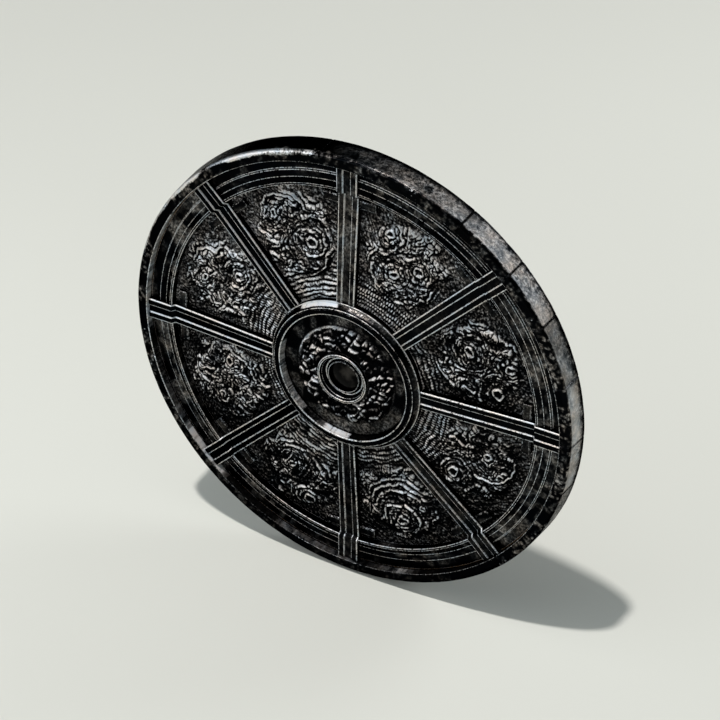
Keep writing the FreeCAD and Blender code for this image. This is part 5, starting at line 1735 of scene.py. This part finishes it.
class SHIELD_OT_pad(bpy.types.Operator):
    """Make the stuffed forearm pad, its nailed hem and the nails."""

    bl_idname = "shield.pad"
    bl_label = "Pad"

    def execute(self, context):
        hide = leather("Pad leather", tuple(colours().pad), 0.0014, 0.5)
        self.cushion(hide)
        self.hem(hide)
        self.nails(dull_brass())
        return {"FINISHED"}

    def plate(self, name, half_long, half_high, layers, material, wear):
        """A rounded oblong built up in layers of (inset, depth)."""
        rows = []
        for inset, depth in layers:
            long, high = half_long - inset, half_high - inset
            outline, _ = rounded([(-long, -high), (long, -high), (long, high), (-long, high)],
                                 max(12.0 - inset, 1.0), steps=6, support=0.8)
            rows.append(in_frame(outline[:, 0], outline[:, 1],
                                 np.full(len(outline), BOARD_BACK - depth)))
        points = np.array(rows)
        marks = np.repeat(np.array(wear, float), points.shape[1])
        return piece(name, points, tube(*points.shape[:2]), material, {"wear": marks}, 60)

    def cushion(self, hide):
        """The stuffing's cover, blown up as cloth from a slightly smaller block."""
        layers = [(2.0, 0.6), (1.5, 3.0), (2.5, 8.5), (6.0, 12.4), (12.0, 13.6)]
        made = self.plate("arm_pad_cushion", 77.0, 34.0, layers, hide, [0] * 5)
        remesh = made.modifiers.new("Remesh", "REMESH")
        remesh.mode = "VOXEL"
        remesh.voxel_size = sizes().pad_voxel
        settle(made)
        self.inflate(made)
        finer = made.modifiers.new("Finer", "SUBSURF")
        finer.levels = finer.render_levels = 1
        settle(made)
        self.quilt(made)
        made.data.materials.clear()
        made.data.materials.append(hide)
        made.data.shade_smooth()
        fitted(made, "pad_leather", "arm_pad")

    def inflate(self, made):
        """Swell the cover under pressure, its base held against the hem."""
        before = positions(made.data)
        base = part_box("arm_pad")[0].y + 3.4 * MM
        held = made.vertex_groups.new(name="Held")
        held.add([int(number) for number in np.nonzero(before[:, 1] < base)[0]], 1.0, "REPLACE")
        cloth = made.modifiers.new("Cloth", "CLOTH")
        cloth.settings.use_pressure = True
        cloth.settings.uniform_pressure_force = 4.0
        cloth.settings.effector_weights.gravity = 0.0
        cloth.settings.vertex_group_mass = held.name
        cloth.settings.tension_stiffness = 12.0
        cloth.settings.bending_stiffness = 2.0
        for number in range(1, 21):
            bpy.context.scene.frame_set(number)
        settle(made)
        made.vertex_groups.clear()
        move = positions(made.data) - before
        far = np.linalg.norm(move, axis=1)[:, None]
        after = before + move * np.minimum(1, 3.0 * MM / np.maximum(far, 1e-9))
        made.data.vertices.foreach_set("co", after.ravel())
        made.data.update()
        bpy.context.scene.frame_set(1)

    def quilt(self, made):
        """Sew channels across the cushion, and draw its skin into soft creases."""
        places = positions(made.data)
        x, z = places[:, 0] / MM, places[:, 2] / MM
        rear = smooth(-6.0, -2.0, places[:, 1] / MM)
        channel = sum(np.exp(-((x - seam) / 2.2) ** 2) for seam in (-51.0, -17.0, 17.0, 51.0))
        pucker = noise(np.stack([x * 0.5, z], -1), 7.0, 81)
        sink = rear * (1.9 * channel * (1 - smooth(26.0, 33.0, np.abs(z)))
                       + 0.35 * pucker * (0.4 + channel))
        places[:, 1] = np.minimum(places[:, 1] - sink * MM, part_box("arm_pad")[1].y + 0.002)
        made.data.vertices.foreach_set("co", places.ravel())
        made.data.update()

    def hem(self, hide):
        """The flat leather that the cushion is sewn to."""
        layers = [(0.5, 0.3), (0.0, 0.8), (0.0, 2.2), (0.6, HEM_DEPTH)]
        made = self.plate("arm_pad_hem", *PAD_HALF, layers, hide, [0.5, 0.9, 0.9, 0.1])
        fitted(made, "pad_leather")
        long, high = PAD_HALF[0] - 9.4, PAD_HALF[1] - 9.4
        corners = [(0.0, -high), (long, -high), (long, high), (-long, high), (-long, -high),
                   (0.0, -high)]
        spots, run = paced(filleted(corners, [12.0] * 4, 1.0), 2.0)
        stitched("arm_pad_stitches", [behind(*spot, HEM_DEPTH) for spot in spots], (0, 1, 0),
                 [(way[0], 0, way[1]) for way in run], waxed_thread(), "pad_leather")

    def nails(self, brass):
        """Domed nails along the hem."""
        long, high = PAD_HALF[0] - 5.5, PAD_HALF[1] - 5.5
        spots = [(across, side * high) for across in np.linspace(-long, long, 6)
                 for side in (1, -1)]
        spots += [(side * long, up) for up in np.linspace(-high, high, 5)[1:-1]
                  for side in (1, -1)]
        dome = [(0, -6.5), (1.2, -5.5), (1.4, 0.0), (3.8, 0.0), (4.0, 0.3), (3.6, 1.1),
                (2.6, 1.8), (1.2, 2.15), (0, 2.2)]
        made = repeated("pad_nails_set", turned_pattern("nail", dome, 20, brass),
                        [behind(*spot, HEM_DEPTH) for spot in spots], turn_variation=3.0)
        fitted(made, "brass", "pad_nails")


# Grip and carrying rings

class SHIELD_OT_grip(bpy.types.Operator):
    """Make the hand grip, its rod and its brackets."""

    bl_idname = "shield.grip"
    bl_label = "Grip"

    def execute(self, context):
        iron = fittings_iron()
        forged("grip_brackets", iron, 0.8)
        forged("grip_rod", iron, 0.3)
        shares = np.linspace(-1, 1, 61)
        body = 14.0 - 3.0 * shares ** 2
        body = body - 0.7 * sum(np.exp(-((np.abs(shares) - ring) / 0.02) ** 2)
                                for ring in (0.78, 0.86))
        low_end = [(4.2, -GRIP_HALF), (9.6, -GRIP_HALF), (10.7, 0.8 - GRIP_HALF)]
        sides = [(radius, GRIP_HALF * share) for share, radius in zip(shares, body)][2:-2]
        high_end = [(radius, -up) for radius, up in low_end[::-1]]
        outline = np.array(low_end + sides + high_end)
        radius, angle = np.meshgrid(outline[:, 0], FULL_TURN * np.arange(48) / 48)
        centre = behind(GRIP_PLACE, 0.0, GRIP_DEPTH) / MM
        points = np.stack([centre.x + radius * np.cos(angle), centre.y + radius * np.sin(angle),
                           np.broadcast_to(outline[:, 1], radius.shape)], -1) * MM
        timber = wood("Waxed dark ash", colours().grip, 0.003, (1, 1, 0.08), 0.38)
        made = piece("hand_grip_turned", points, tube(*radius.shape, True), timber,
                     {"tone": np.full(radius.shape, 0.3)}, 50)
        fitted(made, "grip_wood", "hand_grip")
        return {"FINISHED"}


class SHIELD_OT_rings(bpy.types.Operator):
    """Make the carrying rings and their staples."""

    bl_idname = "shield.rings"
    bl_label = "Carrying rings"

    def execute(self, context):
        iron = fittings_iron()
        for side in ("left", "right"):
            forged("carry_ring_" + side, iron, 0, "ring_" + side)
        forged("ring_staples", iron, 0.2)
        return {"FINISHED"}


# Stage

CAMERA_PLACE = (1.3428, -2.3294, 1.8821)
CAMERA_WAY = (-0.40943, 0.70951, -0.57355)
CAMERA_LENS = 136.72
SUN_WAY = (40.0, 65.0, -300.0)


class SHIELD_OT_stage(bpy.types.Operator):
    """Set the floor, the lamps, the sky and the camera."""

    bl_idname = "shield.stage"
    bl_label = "Stage"

    def execute(self, context):
        scene = context.scene
        scene.view_settings.view_transform = "Standard"
        self.floor()
        self.lamps()
        self.sky()
        camera = bpy.data.cameras.new("camera")
        camera.sensor_width = 36.0
        camera.lens = CAMERA_LENS
        camera.clip_end = 50.0
        scene.camera = self.aim(camera, CAMERA_PLACE, CAMERA_WAY)
        return {"FINISHED"}

    def floor(self):
        """A wide matt floor under the rim."""
        reach, level = 30.0, -RIM_BACK * MM
        points = np.array([(-reach, -reach, level), (reach, -reach, level),
                           (reach, reach, level), (-reach, reach, level)])
        material, tree, place = started("Painted floor")
        shade = add(tree, "TexNoise", {"Vector": place, "Scale": 1.5, "Detail": 2.0})
        paint = add(tree, "ValToRGB", {"Fac": shade},
                    [(0.3, shaded(colours().floor, 0.985)), (0.7, shaded(colours().floor))])
        finished(material, {"Base Color": paint, "Roughness": 0.9, "Specular IOR Level": 0.1})
        piece("floor", points, [[0, 1, 2, 3]], material)

    def lamps(self):
        """A high sun with a soft edge, and broad soft boxes that the polish picks up."""
        sun = bpy.data.lights.new("sun", "SUN")
        sun.energy = 2.1
        sun.angle = radians(2.5)
        sun.color = (1.0, 0.95, 0.925)
        self.aim(sun, (0, 0, 3), SUN_WAY)
        for label, place, wide, high, power in (
                ("left box", (-1.8, -0.75, 0.7), 1.5, 1.1, 6.5),
                ("front box", (-1.05, -1.75, 1.5), 1.3, 0.9, 13.0),
                ("rear box", (1.5, 1.9, 1.3), 1.5, 1.2, 17.0),
                ("top box", (0.1, -0.5, 2.6), 2.0, 1.0, 6.0)):
            lamp = bpy.data.lights.new(label, "AREA")
            lamp.shape = "RECTANGLE"
            lamp.size, lamp.size_y = wide, high
            lamp.energy = power
            lamp.use_shadow = label != "front box"
            self.aim(lamp, place, -Vector(place)).visible_camera = False

    def aim(self, data, place, way):
        """Stand a lamp or a camera at a place, facing along a direction."""
        made = stood(data.name, data)
        made.location = place
        made.rotation_euler = Vector(way).to_track_quat("-Z", "Y").to_euler()
        return made

    def sky(self):
        """An even, slightly cold light from all round."""
        world = bpy.data.worlds.new("Studio")
        world.use_nodes = True
        tree = world.node_tree
        tree.nodes.clear()
        light = add(tree, "Background", {"Color": (0.075, 0.095, 0.105, 1),
                                                   "Strength": 1.0})
        add(tree, "OutputWorld", {"Surface": light})
        bpy.context.scene.world = world


class SHIELD_PT_panel(bpy.types.Panel):
    """The shield's pieces, in the order in which they are made."""

    bl_idname = "SHIELD_PT_panel"
    bl_label = "Round parade shield"
    bl_space_type = "VIEW_3D"
    bl_region_type = "UI"
    bl_category = "Shield"

    def draw(self, context):
        for group in (context.scene.shield_sizes, context.scene.shield_colours):
            for name in group.bl_rna.properties.keys():
                if name not in ("rna_type", "name"):
                    self.layout.prop(group, name)
        for maker in MAKERS:
            self.layout.operator(maker.bl_idname)


MAKERS = (SHIELD_OT_stage, SHIELD_OT_board, SHIELD_OT_rim, SHIELD_OT_cornice, SHIELD_OT_panels,
          SHIELD_OT_ribs, SHIELD_OT_hub, SHIELD_OT_pad, SHIELD_OT_straps, SHIELD_OT_grip,
          SHIELD_OT_rings)
CLASSES = (ShieldSizes, ShieldColours, *MAKERS, SHIELD_PT_panel)


def register():
    """Add the classes and the scene's settings."""
    for kind in CLASSES:
        bpy.utils.register_class(kind)
    bpy.types.Scene.shield_sizes = bpy.props.PointerProperty(type=ShieldSizes)
    bpy.types.Scene.shield_colours = bpy.props.PointerProperty(type=ShieldColours)


def unregister():
    """Take them away again."""
    del bpy.types.Scene.shield_colours
    del bpy.types.Scene.shield_sizes
    for kind in reversed(CLASSES):
        bpy.utils.unregister_class(kind)


def main():
    """Make every piece."""
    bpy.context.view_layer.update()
    register()
    for maker in MAKERS:
        group, name = maker.bl_idname.split(".")
        getattr(getattr(bpy.ops, group), name)()


if __name__ == "__main__":
    main()
